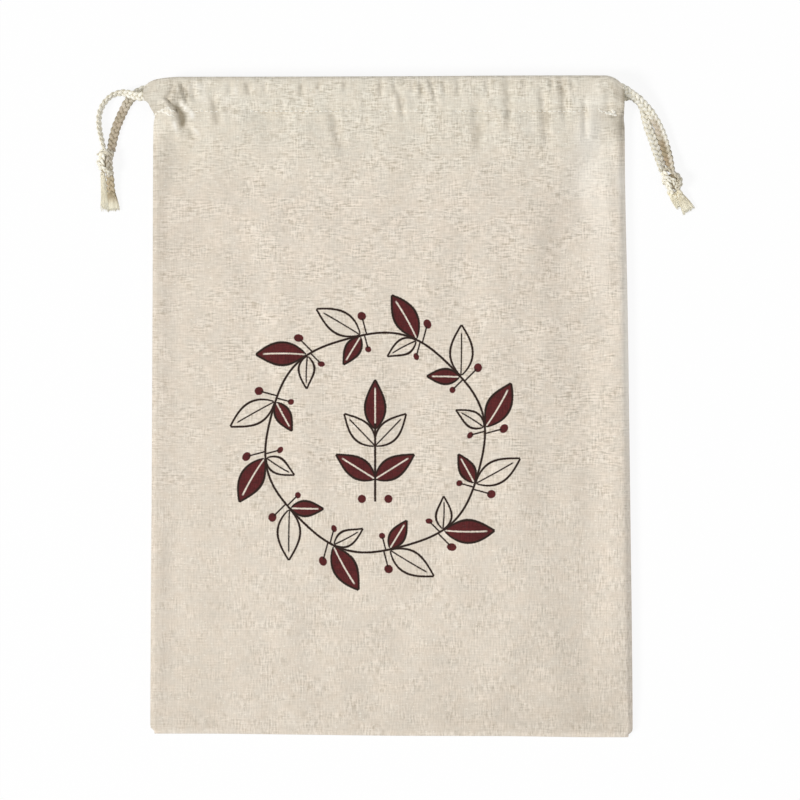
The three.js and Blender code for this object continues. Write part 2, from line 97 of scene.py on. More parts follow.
def cubic(t, start, end, leave, arrive):
    """A curve from start, where t is 0, to end, where it is 1, with its slopes there."""
    return (
        start * (2 * t**3 - 3 * t**2 + 1)
        + end * (3 * t**2 - 2 * t**3)
        + leave * (t**3 - 2 * t**2 + t)
        + arrive * (t**3 - t**2)
    )


def smooth_table(rows, value):
    """Reads (key, number) rows at a value, on one smooth curve that doesn't overshoot them."""
    keys, numbers = np.array(rows, float).T
    steps = np.diff(keys)
    slopes = np.diff(numbers) / steps
    before, after = slopes[:-1], slopes[1:]
    same_way = before * after > 0
    inner = np.where(same_way, 2 * before * after / np.where(same_way, before + after, 1), 0)
    slopes_at = np.concatenate([slopes[:1], inner, slopes[-1:]])
    value = np.clip(value, keys[0], keys[-1])
    at = np.clip(np.searchsorted(keys, value) - 1, 0, len(steps) - 1)
    step = steps[at]
    share = (value - keys[at]) / step
    return cubic(share, numbers[at], numbers[at + 1], slopes_at[at] * step, slopes_at[at + 1] * step)


def from_srgb(red, green, blue):
    """A colour of 0 to 255 a channel, as Blender's linear colour."""
    parts = [c / 255 for c in (red, green, blue)]
    linear = [c / 12.92 if c <= 0.04045 else ((c + 0.055) / 1.055) ** 2.4 for c in parts]
    return (*linear, 1.0)


def place_object(name, data):
    """Puts a new object with this data into the scene."""
    placed = bpy.data.objects.new(name, data)
    bpy.context.scene.collection.objects.link(placed)
    return placed


class Shape:
    """Points, faces and the values that its material reads, gathered for one mesh."""

    def __init__(self):
        self.points = []
        self.faces = []
        self.uvs = []
        self.values = []
        self.shades_and_tints = []
        self.count = 0

    def add_grid(self, grid, uv, value, closed=False, flip=False, shade_and_tint=0.0):
        """Adds a grid of points (rows, columns, 3). uv is (rows, columns + closed, 2)."""
        rows, columns = grid.shape[:2]
        first = self.count + np.arange(rows * columns).reshape(rows, columns)
        right = np.roll(first, -1, axis=1) if closed else first[:, 1:]
        left = first if closed else first[:, :-1]
        quads = np.stack([left[:-1], right[:-1], right[1:], left[1:]], axis=-1).reshape(-1, 4)
        corners = np.stack([uv[:-1, :-1], uv[:-1, 1:], uv[1:, 1:], uv[1:, :-1]], axis=2)
        corners = corners.reshape(-1, 4, 2)
        if flip:
            quads, corners = quads[:, ::-1], corners[:, ::-1]
        self.points.append(grid.reshape(-1, 3))
        self.faces.append(quads)
        self.uvs.append(corners)
        self.values.append(np.broadcast_to(value, (rows, columns)).reshape(-1))
        self.shades_and_tints.append(np.broadcast_to(shade_and_tint, (rows, columns)).reshape(-1))
        self.count += rows * columns

    def add_tube(self, centres, across, through, radii, value, sides, along=None, shade_and_tint=0.0):
        """Adds a closed tube round a line of centres, with an oval section on two directions.

        value and the shade and tint (painted shade and light, and tint) are each one number, one for
        each centre, or one for each point.
        """
        if along is None:
            along = distances_along(centres)
        angle = np.arange(sides) / sides * 2 * np.pi
        radii = np.broadcast_to(radii, (len(centres), 2))
        grid = (
            centres[:, None]
            + across[:, None] * (radii[:, :1] * np.cos(angle))[..., None]
            + through[:, None] * (radii[:, 1:] * np.sin(angle))[..., None]
        )
        uv = np.stack(np.broadcast_arrays(along[:, None], np.arange(sides + 1) / sides), axis=-1)
        first_end = centres[:1, None].repeat(sides, 1)
        last_end = centres[-1:, None].repeat(sides, 1)
        grid = np.concatenate([first_end, grid, last_end])
        uv = np.concatenate([uv[:1], uv, uv[-1:]])

        def for_each_point(number):
            number = np.asarray(number, float)
            if number.ndim == 1:
                number = number[:, None]
            whole = np.broadcast_to(number, (len(centres), sides))
            return np.concatenate([whole[:1], whole, whole[-1:]])

        self.add_grid(grid, uv, for_each_point(value), closed=True, shade_and_tint=for_each_point(shade_and_tint))

    def make(self, name, material, uv_name):
        """Makes the object, smooth, riding on the bag, with its values as attributes of its points."""
        mesh = bpy.data.meshes.new(name)
        points = np.concatenate(self.points)
        faces = np.concatenate(self.faces)
        mesh.from_pydata(points.tolist(), [], faces.tolist())
        layer = mesh.uv_layers.new(name=uv_name)
        layer.data.foreach_set("uv", np.concatenate(self.uvs).astype(np.float32).reshape(-1))
        for attribute_name, numbers in (("height", self.values), ("shade_and_tint", self.shades_and_tints)):
            attribute = mesh.attributes.new(attribute_name, "FLOAT", "POINT")
            attribute.data.foreach_set("value", np.concatenate(numbers).astype(np.float32))
        mesh.polygons.foreach_set("use_smooth", [True] * len(mesh.polygons))
        mesh.materials.append(material)
        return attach(place_object(name, mesh), "root")


# ---------------------------------------------------------------- camera

CAMERA_HEIGHT = 3.2
VIEW_WIDTH = 0.4848
VIEW_CENTRE = (0.0070, 0.0037)
SENSOR = 36.0


def make_camera():
    """Straight above the bag, far enough away that nothing leans outward."""
    data = bpy.data.cameras.new("camera")
    data.sensor_width = SENSOR
    data.lens = SENSOR * CAMERA_HEIGHT / VIEW_WIDTH
    camera = place_object("camera", data)
    camera.location = (*VIEW_CENTRE, CAMERA_HEIGHT)
    bpy.context.scene.camera = camera


make_camera()


# ---------------------------------------------------------------- shader helpers


class Value:
    """A number in a material, so that its nodes are written as plain sums."""

    def __init__(self, tree, socket):
        self.tree = tree
        self.socket = socket

    def run(self, operation, *others, clamp=False):
        """What one of Blender's math operations makes of this number and the others."""
        node = add_node(self.tree, "Math")
        node.operation = operation
        node.use_clamp = clamp
        for socket, value in zip(node.inputs, (self, *others)):
            connect(self.tree, value, socket)
        return Value(self.tree, node.outputs[0])

    def __add__(self, other):
        return self.run("ADD", other)

    def __sub__(self, other):
        return self.run("SUBTRACT", other)

    def __mul__(self, other):
        return self.run("MULTIPLY", other)

    def __truediv__(self, other):
        return self.run("DIVIDE", other)

    __radd__ = __add__
    __rmul__ = __mul__

    def __rsub__(self, other):
        return self * -1 + other

    def __abs__(self):
        return self.run("ABSOLUTE")

    def __pow__(self, other):
        return self.run("POWER", other)

    def clamped(self):
        """The number, kept from 0 to 1."""
        return self.run("ADD", 0.0, clamp=True)

    def between(self, start, end):
        """0 before start and 1 after end, smoothly. start may be above end."""
        share = ((self - start) / (end - start)).clamped()
        return share * share * (3.0 - 2.0 * share)


def connect(tree, value, socket):
    """Links a value to a socket, or sets the socket to a plain number or colour."""
    if isinstance(value, Value):
        tree.links.new(value.socket, socket)
    elif isinstance(value, bpy.types.NodeSocket):
        tree.links.new(value, socket)
    else:
        socket.default_value = value


def add_node(tree, kind, **inputs):
    """Adds a node of this kind, with values or links for its inputs by their names."""
    node = tree.nodes.new("ShaderNode" + kind)
    for name, value in inputs.items():
        connect(tree, value, node.inputs[name])
    return node


def largest(*values):
    """The largest of some numbers."""
    whole = values[0]
    for value in values[1:]:
        whole = whole.run("MAXIMUM", value)
    return whole


def separated(tree, vector):
    """The x and y of a vector's socket."""
    parts = add_node(tree, "SeparateXYZ", Vector=vector)
    return Value(tree, parts.outputs[0]), Value(tree, parts.outputs[1])


def uv_values(tree, uv_name):
    """The two coordinates of a UV map."""
    node = add_node(tree, "UVMap")
    node.uv_map = uv_name
    return separated(tree, node.outputs[0])


def place_in_mm(tree):
    """Where the point is across and up the bag, in millimetres."""
    x, y = separated(tree, add_node(tree, "TexCoord").outputs["Object"])
    return x / MM, y / MM


def point_value(tree, name):
    """A number that the mesh carries at each of its points."""
    node = add_node(tree, "Attribute")
    node.attribute_name = name
    return Value(tree, node.outputs["Fac"])


def seen_by_camera(tree):
    """1 for a ray from the camera, also where a mirror or glass has sent it on, and 0 for the rest."""
    rays = add_node(tree, "LightPath")
    kinds = ("Is Camera Ray", "Is Glossy Ray", "Is Transmission Ray")
    return largest(*(Value(tree, rays.outputs[kind]) for kind in kinds))


def noise(x, y, detail=2.0, roughness=0.5, seed=0.0):
    """Noise of one feature for each unit of x and y, from 0 to 1."""
    place = add_node(x.tree, "CombineXYZ", X=x, Y=y, Z=seed).outputs[0]
    grain = {"Scale": 1.0, "Detail": detail, "Roughness": roughness}
    node = add_node(x.tree, "TexNoise", Vector=place, **grain)
    return Value(x.tree, node.outputs["Fac"])


def mixed_colour(share, first, second, blend="MIX"):
    """The first colour where share is 0, and the second, or the two blended, where it is 1."""
    tree = share.tree
    node = add_node(tree, "Mix")
    node.data_type = "RGBA"
    node.blend_type = blend
    colours = [socket for socket in node.inputs if socket.type == "RGBA"]
    connect(tree, share, node.inputs[0])
    connect(tree, first, colours[0])
    connect(tree, second, colours[1])
    return next(socket for socket in node.outputs if socket.type == "RGBA")


def new_material(name, roughness, sheen=0.0):
    """A cloth-like material with its tree and its main shader."""
    material = bpy.data.materials.new(name)
    material.use_nodes = True
    tree = material.node_tree
    shader = next(node for node in tree.nodes if node.type == "BSDF_PRINCIPLED")
    looks = {"Roughness": roughness, "Specular IOR Level": 0.2, "Sheen Roughness": 0.6}
    looks["Sheen Weight"] = sheen
    for input_name, value in looks.items():
        shader.inputs[input_name].default_value = value
    return material, tree, shader


def finish_shader(shader, colour, height, strength, distance):
    """Gives a shader its colour, and a bump whose height of 0 to 1 stands for a distance."""
    tree = height.tree
    bump = add_node(tree, "Bump", Strength=strength, Distance=distance, Height=height)
    tree.links.new(bump.outputs["Normal"], shader.inputs["Normal"])
    tree.links.new(colour, shader.inputs["Base Color"])


# ---------------------------------------------------------------- the plaited cotton

PLAIT_UV = "Strand"
YARNS_ROUND = 5.0  # in each strand
YARN_TWIST = 0.32  # turns for each millimetre of it

# What a stretch of cord is dimmed by where shade is painted on it and where it is darker, and the
# pale colour that painted light and lighter stretches are mixed toward.
SHADE_AND_DRAB_GREEN = (0.40, 0.35, 0.26, 1.0)
SHADE_AND_DRAB_WARM = (0.46, 0.365, 0.275, 1.0)
CORD_LIGHT_AND_PALE = from_srgb(255, 250, 234)


def make_plait_material(name, low, middle, high, contrast):
    """Soft cotton yarn: fine fibres along each strand, with painted shade down between the strands and
    painted highlights on their raised parts.

    A strand's map runs in metres along it, and from 0 to 1 round it.
    """
    material, tree, shader = new_material(name, 0.9, sheen=0.15)
    along, around = uv_values(tree, PLAIT_UV)
    along = along / MM
    turns = around * YARNS_ROUND + along * YARN_TWIST
    yarn = (turns * (2 * math.pi)).run("SINE") * 0.5 + 0.5
    fibres = noise(along * 0.9, around * 26.0 + along * 1.8, detail=3.0, roughness=0.6)
    patches = noise(along * 0.14, around * 2.0, detail=3.0, seed=3.0)
    depth = point_value(tree, "height")
    shade_and_tint = point_value(tree, "shade_and_tint")
    uneven = yarn * 0.16 + fibres * 0.3 + (patches - 0.5) * 0.5 - 0.23
    # painted shade low on the strands and painted highlights high on them
    lit = depth * 0.62 + 0.23 + uneven * contrast
    shade = mixed_colour(lit.between(0.16, 0.62), low, middle)
    colour = mixed_colour(lit.between(0.55, 0.95), shade, high)
    # painted shade and darker stretches where the value is over 0, painted light and lighter stretches
    # where it is under 0
    shade_and_drab = mixed_colour(patches.between(0.3, 0.7), SHADE_AND_DRAB_GREEN, SHADE_AND_DRAB_WARM)
    colour = mixed_colour(shade_and_tint.clamped(), colour, shade_and_drab, blend="MULTIPLY")
    light_and_pale = mixed_colour(lit.between(0.16, 0.5), middle, CORD_LIGHT_AND_PALE)
    colour = mixed_colour((shade_and_tint * -1).clamped(), colour, light_and_pale)
    finish_shader(shader, colour, yarn * 0.6 + fibres * 0.6, 0.6, 0.22 * MM)
    return material


cotton = make_plait_material(
    "plaited_cotton",
    from_srgb(182, 168, 142),
    from_srgb(233, 228, 210),
    from_srgb(253, 250, 241),
    contrast=1.0,
)
frayed_cotton = make_plait_material(
    "frayed_cotton",
    from_srgb(214, 202, 166),
    from_srgb(241, 232, 205),
    from_srgb(252, 248, 230),
    contrast=0.55,
)


# ---------------------------------------------------------------- the cords

CORD_WIDTH = 6.0 * MM
CORD_THICK = 2.45 * MM
STRANDS = 3
STRAND_SIDES = 8
STRAND_WIDTH = 0.205  # half of a strand's width, as a share of the plait's
STRAND_THICK = 0.29  # and half of its thickness
LOBE = 3.4 * MM  # from one lobe of the plait's edge to the next
STATION = 0.6 * MM

# The route of each cord: x, y and z of its middle, and the lean of its flat face in degrees.
LEFT_ROUTE = [
    # the outer strand, almost on edge, from the knot up and over the inner one to the casing
    (-0.172, 0.1548, 0.0032, 84), (-0.1733, 0.1606, 0.0031, 76), (-0.1748, 0.1668, 0.00305, 72),
    (-0.1753, 0.173, 0.00305, 70), (-0.1743, 0.179, 0.00305, 70), (-0.1716, 0.1842, 0.0031, 70),
    (-0.1679, 0.1876, 0.0036, 70), (-0.1634, 0.1893, 0.0047, 64), (-0.1588, 0.1893, 0.0063, 48),
    (-0.1546, 0.188, 0.0081, 30), (-0.1504, 0.1871, 0.0097, 18), (-0.1462, 0.1872, 0.0109, 12),
    # through the front casing, in its lower lane
    (-0.138, 0.1855, 0.01125, 0), (-0.128, 0.1854, 0.0112, 0), (-0.115, 0.1854, 0.01165, 0),
    (-0.1, 0.1854, 0.01225, 0), (-0.085, 0.1854, 0.01255, 0), (0.0, 0.1854, 0.01255, 0),
    (0.085, 0.1854, 0.01255, 0), (0.1, 0.1854, 0.01225, 0), (0.115, 0.1854, 0.01165, 0),
    (0.13, 0.1853, 0.0112, 0),
    # round the ends of the hems, at the right
    (0.1351, 0.1864, 0.00995, 45), (0.1371, 0.1895, 0.00695, 90), (0.1351, 0.1926, 0.004, 135),
    # back through the back casing, in its upper lane
    (0.13, 0.1936, 0.00285, 180), (0.116, 0.1936, 0.00275, 180), (0.06, 0.1936, 0.0027, 180),
    (-0.06, 0.1936, 0.0027, 180), (-0.135, 0.1935, 0.0027, 180), (-0.142, 0.1928, 0.0027, 180),
    # the inner strand, lying flat, out from under the outer one and down to the knot
    (-0.1474, 0.1914, 0.00265, 180), (-0.1518, 0.1897, 0.0022, 180), (-0.1554, 0.187, 0.0015, 180),
    (-0.1582, 0.1832, 0.0014, 180), (-0.1606, 0.1788, 0.0014, 180), (-0.1628, 0.174, 0.0014, 180),
    (-0.1648, 0.1688, 0.0014, 180), (-0.1663, 0.1636, 0.0015, 180), (-0.1673, 0.159, 0.002, 172),
    (-0.1678, 0.1548, 0.0032, 150),
]
RIGHT_ROUTE = [
    # the outer strand, from the knot up to the casing, leaning toward the inner one
    (0.1713, 0.142, 0.0036, -54), (0.1703, 0.1476, 0.0032, -40), (0.1688, 0.1538, 0.0029, -26),
    (0.1667, 0.161, 0.0028, -15), (0.1639, 0.1682, 0.0031, -10), (0.1608, 0.174, 0.0038, -8),
    (0.1572, 0.1792, 0.005, -4), (0.1528, 0.1838, 0.0064, 0), (0.1478, 0.1876, 0.008, 0),
    (0.143, 0.1909, 0.00995, 0), (0.1374, 0.1934, 0.01125, 0),
    # through the front casing, in its upper lane
    (0.129, 0.1936, 0.0112, 0), (0.115, 0.1936, 0.01165, 0), (0.1, 0.1936, 0.01225, 0),
    (0.085, 0.1936, 0.01255, 0), (0.0, 0.1936, 0.01255, 0), (-0.085, 0.1936, 0.01255, 0),
    (-0.1, 0.1936, 0.01225, 0), (-0.115, 0.1936, 0.01165, 0), (-0.13, 0.1937, 0.0112, 0),
    # round the ends of the hems, at the left
    (-0.1351, 0.1926, 0.00995, 45), (-0.1371, 0.1894, 0.00705, 90), (-0.1351, 0.1863, 0.00405, 135),
    # back through the back casing, in its lower lane
    (-0.13, 0.1854, 0.00285, 180), (-0.116, 0.1854, 0.00275, 180), (-0.06, 0.1854, 0.0027, 180),
    (0.06, 0.1854, 0.0027, 180), (0.134, 0.1851, 0.0027, 180), (0.1408, 0.1866, 0.0026, 180),
    # the inner strand, out from under the outer one and down to the knot
    (0.1458, 0.1882, 0.0024, 180), (0.1502, 0.1868, 0.002, 180), (0.1534, 0.1832, 0.0017, 179),
    (0.1551, 0.1784, 0.0016, 177), (0.1562, 0.1732, 0.00165, 174), (0.1578, 0.1674, 0.0018, 170),
    (0.1599, 0.1614, 0.002, 166), (0.1621, 0.155, 0.0023, 158), (0.1641, 0.1486, 0.0028, 146),
    (0.166, 0.142, 0.0036, 130),
]


def smooth_route(points, step, leans=0.0):
    """A smooth curve through the points, with stations about step apart.

    It also gives the lean, read along it, and the distance along it at each station.
    """
    points = np.array(points, float)
    leans = np.broadcast_to(np.array(leans, float), len(points))
    padded = np.concatenate([2 * points[:1] - points[1:2], points, 2 * points[-1:] - points[-2:-1]])
    gaps = np.sqrt(np.linalg.norm(np.diff(padded, axis=0), axis=1))
    places, carried = [], []
    for i in range(len(points) - 1):
        before, start, end, after = padded[i : i + 4]
        gap_before, gap, gap_after = gaps[i : i + 3]
        along = (end - start) / gap
        leave = ((start - before) / gap_before - (end - before) / (gap_before + gap) + along) * gap
        arrive = (along - (after - start) / (gap + gap_after) + (after - end) / gap_after) * gap
        count = max(4, int(np.ceil(np.linalg.norm(end - start) / (step * 0.5))))
        t = np.arange(count)[:, None] / count
        places.append(cubic(t, start, end, leave, arrive))
        carried.append(mix(leans[i], leans[i + 1], t[:, 0]))
    fine = np.concatenate([*places, points[-1:]])
    carried = np.concatenate([*carried, leans[-1:]])
    length = distances_along(fine)
    at = np.linspace(0, length[-1], int(round(length[-1] / step)) + 1)
    line = np.stack([np.interp(at, length, fine[:, k]) for k in range(3)], axis=1)
    return line, np.interp(at, length, carried), at


def flat_frames(line, lean):
    """Directions across and through a flat cord, from its line and the lean of its face."""
    tangent = tangents_of(line)
    level = unit(np.cross(UP, tangent))
    turn = np.radians(lean)[:, None]
    across = unit(level * np.cos(turn) + np.cross(tangent, level) * np.sin(turn))
    return across, np.cross(tangent, across)


# Where each cord is darkened (over 0) and lightened (under 0): painted shade on the inner faces of
# the right pair near its knot, painted light where the right end of the casing shades both strands
# at the mouth, and elsewhere stretches that are only darker and lighter. From and to a distance
# along it, in metres, then which of its two edges it is (1 or -1), or 0 for both, and how strong.
SHADES_AND_TINTS = {
    "left": [
        (0, 0.03, 0, -0.25), (0.634, 0.638, 0, -0.4),
        (0.654, 0.69, 0, 0.8), (0.646, 0.656, 0, 0.6),
    ],
    # painted shade on the inner faces of the pair near the knot, and painted light where the casing end
    # shades both strands at the mouth
    "right": [
        (0, 0.018, 1, 1.0), (0, 0.031, 1, 0.65), (0, 0.013, 0, 0.5),
        (0.054, 0.064, 0, -0.65), (0.627, 0.633, 0, -0.5), (0.646, 0.69, -1, 0.1),
    ],
}
SHADE_AND_TINT_FADE = 7 * MM
SHADED_EDGE = (-0.62, -0.1)  # where a shaded edge starts, and where its painted shade is full, across the cord


def shade_and_tint_over(rows):
    """How darkened (over 0) and lightened (under 0) a cord is, by painted shade and light and by tint,
    from the distance along it and the place across it from -1 to 1.
    """

    def shade_and_tint(at, sideways):
        whole = np.zeros(sideways.shape)
        for start, end, edge, strength in rows:
            part = 1.0 if edge == 0 else ease(*SHADED_EDGE, sideways * edge)
            this = strength * stretch(start, end, SHADE_AND_TINT_FADE, at)[:, None] * part
            whole = np.where(np.abs(this) > np.abs(whole), this, whole)
        return whole

    return shade_and_tint


def add_plait(shape, line, across, through, at, width, thick, seed, shade_and_tint=0.0):
    """Adds three strands that cross over each other along a line, each a soft oval yarn.

    width is one number, or one for each station. stain is one number, or a function of the
    distance along and the place across.
    """
    wander = np.random.default_rng(seed)
    width = np.broadcast_to(width, at.shape)
    turn = 2 * np.pi * at / (STRANDS * LOBE)
    loose = 1 + 0.05 * np.sin(at / (11 * MM) + wander.uniform(0, 6))
    yarn_across = STRAND_WIDTH * width
    yarn_through = STRAND_THICK * thick
    swing = (width / 2 - yarn_across) * loose
    rise = thick / 2 - yarn_through
    angle = np.arange(STRAND_SIDES) / STRAND_SIDES * 2 * np.pi
    for strand in range(STRANDS):
        phase = turn + 2 * np.pi * strand / STRANDS
        sideways = swing * np.sin(phase)
        up = rise * np.sin(2 * phase)
        centres = line + across * sideways[:, None] + through * up[:, None]
        tangent = tangents_of(centres)
        strand_across = unit(across - tangent * (across * tangent).sum(1, keepdims=True))
        strand_through = np.cross(tangent, strand_across)
        thickness = 1 + 0.07 * np.sin(at / (4.1 * MM) + wander.uniform(0, 6))
        radii = np.stack([yarn_across * thickness, yarn_through * thickness], axis=1)
        # how high and how near the plait's edges each point lies, which the material turns into painted
        # shade low down and painted highlights high up
        surface = up[:, None] + radii[:, 1:] * np.sin(angle)
        lift = np.clip(np.abs(surface) / (thick / 2), 0, 1)
        edge = np.clip(np.abs(sideways) / (width / 2), 0, 1)[:, None]
        height = np.clip(lift * 0.8 + edge * 0.35, 0, 1)
        place = (sideways[:, None] + radii[:, :1] * np.cos(angle)) / (width[:, None] / 2)
        stained = shade_and_tint(at, place) if callable(shade_and_tint) else shade_and_tint
        shape.add_tube(
            centres, strand_across, strand_through, radii, height, STRAND_SIDES, along=at, shade_and_tint=stained
        )


# Where the soft plait is spread wider: from and to a distance along it, in metres, then which of
# its two edges moves out (1 or -1), and how far.
SPREADS = {
    "left": [],
    "right": [(0.0085, 0.0220, 1, 1.0 * MM), (0.6600, 0.6790, -1, 0.7 * MM)],
}
SPREAD_FADE = 6 * MM


def edge_moved(rows, edge, at):
    """How far one edge of a cord is spread outward at each station."""
    moved = np.zeros(at.shape)
    for start, end, row_edge, far in rows:
        if row_edge == edge:
            moved += far * stretch(start, end, SPREAD_FADE, at)
    return moved


def make_cord(side, route, seed):
    """Makes a cord, and gives the line that it follows and its length too."""
    route = np.array(route)
    line, lean, at = smooth_route(route[:, :3], STATION, route[:, 3])
    across, through = flat_frames(line, lean)
    first = edge_moved(SPREADS[side], 1, at)
    second = edge_moved(SPREADS[side], -1, at)
    middle = line + across * ((first - second) / 2)[:, None]
    width = CORD_WIDTH + first + second
    shape = Shape()
    add_plait(shape, middle, across, through, at, width, CORD_THICK, seed, shade_and_tint_over(SHADES_AND_TINTS[side]))
    cord = shape.make(f"plaited_cord_{side}", cotton, PLAIT_UV)
    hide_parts(f"drawcord_{side}")
    return cord, line, float(at[-1])


cords = {
    "left": make_cord("left", LEFT_ROUTE, 11),
    "right": make_cord("right", RIGHT_ROUTE, 12),
}


# ---------------------------------------------------------------- the knots

# Each knot is a few plaited bands that lie over a small core, in millimetres. The core is its half
# sizes and the height of its middle. A band's points are on its middle line, from the knot's
# middle on the surface.
KNOTS = {
    "left": {
        "middle": (-171.2, 147),
        "core": (4, 6.2, 3.3, 3.6),
        "bands": [
            # the inner strand, over the right side and on into the right tail
            {"width": 5.2, "shade_and_tint": 0.5, "points": [
                (3, 8, 3.2), (2.5, 5.2, 5), (2.2, 1.6, 6.2),
                (2.4, -2.2, 6.3), (2.6, -5.2, 5), (2.7, -7.8, 3.6),
            ]},
            # the outer strand, round the left side and under
            {"width": 6, "shade_and_tint": -0.2, "points": [
                (-0.7, 8, 3.2), (-1.5, 5.8, 5), (-2.3, 3, 6.2),
                (-2.6, 0, 6.3), (-2.4, -2.6, 5.4), (-1.4, -4.4, 3.4),
            ]},
            # its turn, back over the inner strand
            {"width": 3.2, "shade_and_tint": 0, "points": [
                (-4.5, 1.8, 2.6), (-4.1, 0.5, 5.4), (-2.5, -1.4, 7), (-0.5, -3.4, 7.4),
                (1.3, -5, 6.6), (2.4, -6.3, 4.6), (2.5, -7.1, 2.6),
            ]},
            # a short band across the knot's top, over both strands
            {"width": 3.2, "shade_and_tint": 0.2, "points": [
                (-4.2, 5.4, 1.8), (-2.4, 6.6, 4.4), (0.4, 7, 5.7), (2.4, 6.4, 5.6), (4.4, 5, 3),
            ]},
        ],
    },
    "right": {
        "middle": (172, 136),
        "core": (4.4, 4.8, 3.3, 3.6),
        "bands": [
            # the inner strand, over the left side and on into the left tail
            {"width": 5.2, "shade_and_tint": -0.15, "points": [
                (-5.6, 6, 3.4), (-4.7, 3.4, 4.8), (-3.7, 0.4, 5.7),
                (-2.6, -2.6, 5.6), (-1.4, -5.4, 4.4), (-0.5, -7.2, 3.4),
            ]},
            # the outer strand, round the right side and under
            {"width": 4.9, "shade_and_tint": 0.3, "points": [
                (-2.8, 9, 2.6), (-1.5, 6.5, 3.6), (1.2, 5, 5), (3.6, 2.6, 6.2),
                (4.6, -0.4, 6.2), (4, -3.4, 4.6), (2.2, -4.8, 2.6),
            ]},
            # its turn, back over the inner strand
            {"width": 3.8, "shade_and_tint": -0.1, "points": [
                (-3, -1.6, 2), (-4.9, -0.9, 2.6), (-5.6, 0.6, 4.6), (-3.9, 1.5, 6.6),
                (-0.8, 0.8, 7.3), (1.5, -1, 6.4), (2.4, -3, 4),
            ]},
        ],
    },
}
BAND_THICK = 2.3 * MM  # of a plait that is pulled tight in a knot or below it
BAND_STATION = 0.35 * MM
TAIL_STATION = 0.4 * MM


def outward_frames(line, middle):
    """Directions across and through a band whose flat face looks out from a middle."""
    tangent = tangents_of(line)
    out = line - middle
    through = unit(out - tangent * (out * tangent).sum(1, keepdims=True))
    return np.cross(through, tangent), through


def add_core(shape, middle, half_x, half_y, half_z):
    """Adds the knot's egg-shaped core, with shade painted on it as dark as the depths between the
    bands.
    """
    angle = np.linspace(0, np.pi, 13)[:, None]
    centres = middle + np.array([0, half_y, 0]) * np.cos(angle)
    across = np.tile([1.0, 0.0, 0.0], (len(angle), 1))
    through = np.tile(UP, (len(angle), 1))
    radii = np.array([[half_x, half_z]]) * np.sin(angle) + 1e-6
    shape.add_tube(centres, across, through, radii, 0.15, sides=16, shade_and_tint=0.45)


def make_knot(side, knot):
    """Makes a knot of tight bands that hide their core."""
    shape = Shape()
    foot = np.array([*knot["middle"], 0.0]) * MM
    half_x, half_y, half_z, centre_z = (size * MM for size in knot["core"])
    middle = foot + [0, 0, centre_z]
    for number, band in enumerate(knot["bands"]):
        points = np.array(band["points"]) * MM + foot
        line, _, at = smooth_route(points, BAND_STATION)
        across, through = outward_frames(line, middle)
        width = band["width"] * MM
        add_plait(shape, line, across, through, at, width, BAND_THICK, 30 + number, band["shade_and_tint"])
    add_core(shape, middle, half_x, half_y, half_z)
    piece = shape.make(f"plaited_knot_{side}", cotton, PLAIT_UV)
    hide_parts(f"knot_{side}")
    return piece


knots = {side: make_knot(side, knot) for side, knot in KNOTS.items()}


# ---------------------------------------------------------------- the tails

# Two tails leave each knot, in millimetres. Each is the middle line of its plait, then a brush of
# loose fibres that leans from the first to the second of "leans" across its width. The higher its
# flare, the later it spreads.
TAILS = {
    "left": [
        {
            "line": [(-173, 141.6, 3.2), (-172.9, 140.2, 3), (-172.8, 138.8, 2.8)],
            "leans": (-1.6, 2.4), "flare": 3, "fibres": 80, "length": 20.4,
            "width": 3, "shade_and_tint": -0.35,
        },
        {
            "line": [
                (-168.5, 139.6, 3.4), (-168.3, 135.5, 2.9), (-167.9, 131.2, 2.6), (-167.5, 127.4, 2.3),
            ],
            "leans": (-1.6, 1.6), "flare": 1.2, "fibres": 90, "length": 9.4,
            "width": 5, "shade_and_tint": 0.8,
        },
    ],
    "right": [
        {
            "line": [(170.6, 130.4, 3.2), (171.7, 127.9, 2.8), (173.4, 125.8, 2.4)],
            "leans": (-1.2, 1.4), "flare": 1.1, "fibres": 100, "length": 6.4,
            "width": 4.8, "shade_and_tint": 0,
        },
        {
            "line": [(175, 130.6, 3.2), (176.3, 128.2, 2.9), (177.8, 125.8, 2.6)],
            "leans": (-2.8, 1.6), "flare": 1.1, "fibres": 100, "length": 9.2,
            "width": 4.4, "shade_and_tint": 0.15,
        },
    ],
}
BRUSH_START = 1.4 * MM  # how far a brush's body reaches back into its plait
BRUSH_TIP = 0.6 * MM  # how far the body reaches beyond the length of the brush
FIBRE_START = 1.6 * MM  # how far each fibre reaches back into the plait
BRUSH_THICK = (1.15 * MM, 0.75 * MM)  # half its thickness, at its start and its tip
SINK = 0.8  # under 1, so that a brush comes down to the surface early along its length


def add_brush(shape, tail, start, heading, across):
    """Adds the soft mass of a frayed end: a flat body that spreads and sinks to a round tip."""
    t = np.linspace(0, 1, 13)[:, None]
    first_lean, last_lean = tail["leans"]
    lean = mix(first_lean, last_lean, 0.5) * MM
    spread = (last_lean - first_lean) / 2 * MM
    length = tail["length"] * MM
    line = start - heading * BRUSH_START + heading * (length + BRUSH_TIP) * t
    line = line + across * lean * t ** tail["flare"]
    line[:, 2] = mix(start[2], BRUSH_THICK[0], t[:, 0] ** SINK)
    tip = np.sqrt(np.maximum(1 - ease(0.8, 1.0, t) ** 2 * 0.75, 0.05))
    half = (tail["width"] / 2 * MM * 0.95 + spread * t ** tail["flare"]) * tip
    thick = mix(*BRUSH_THICK, t) * tip
    up = np.tile(UP, (len(t), 1))
    side = np.tile(across, (len(t), 1))
    shade_and_tint = tail["shade_and_tint"] * (1 - ease(0.1, 0.7, t[:, 0]))
    value = mix(0.5, 0.8, t[:, 0])
    shape.add_tube(line, side, up, np.hstack([half, thick]), value, sides=20, shade_and_tint=shade_and_tint)


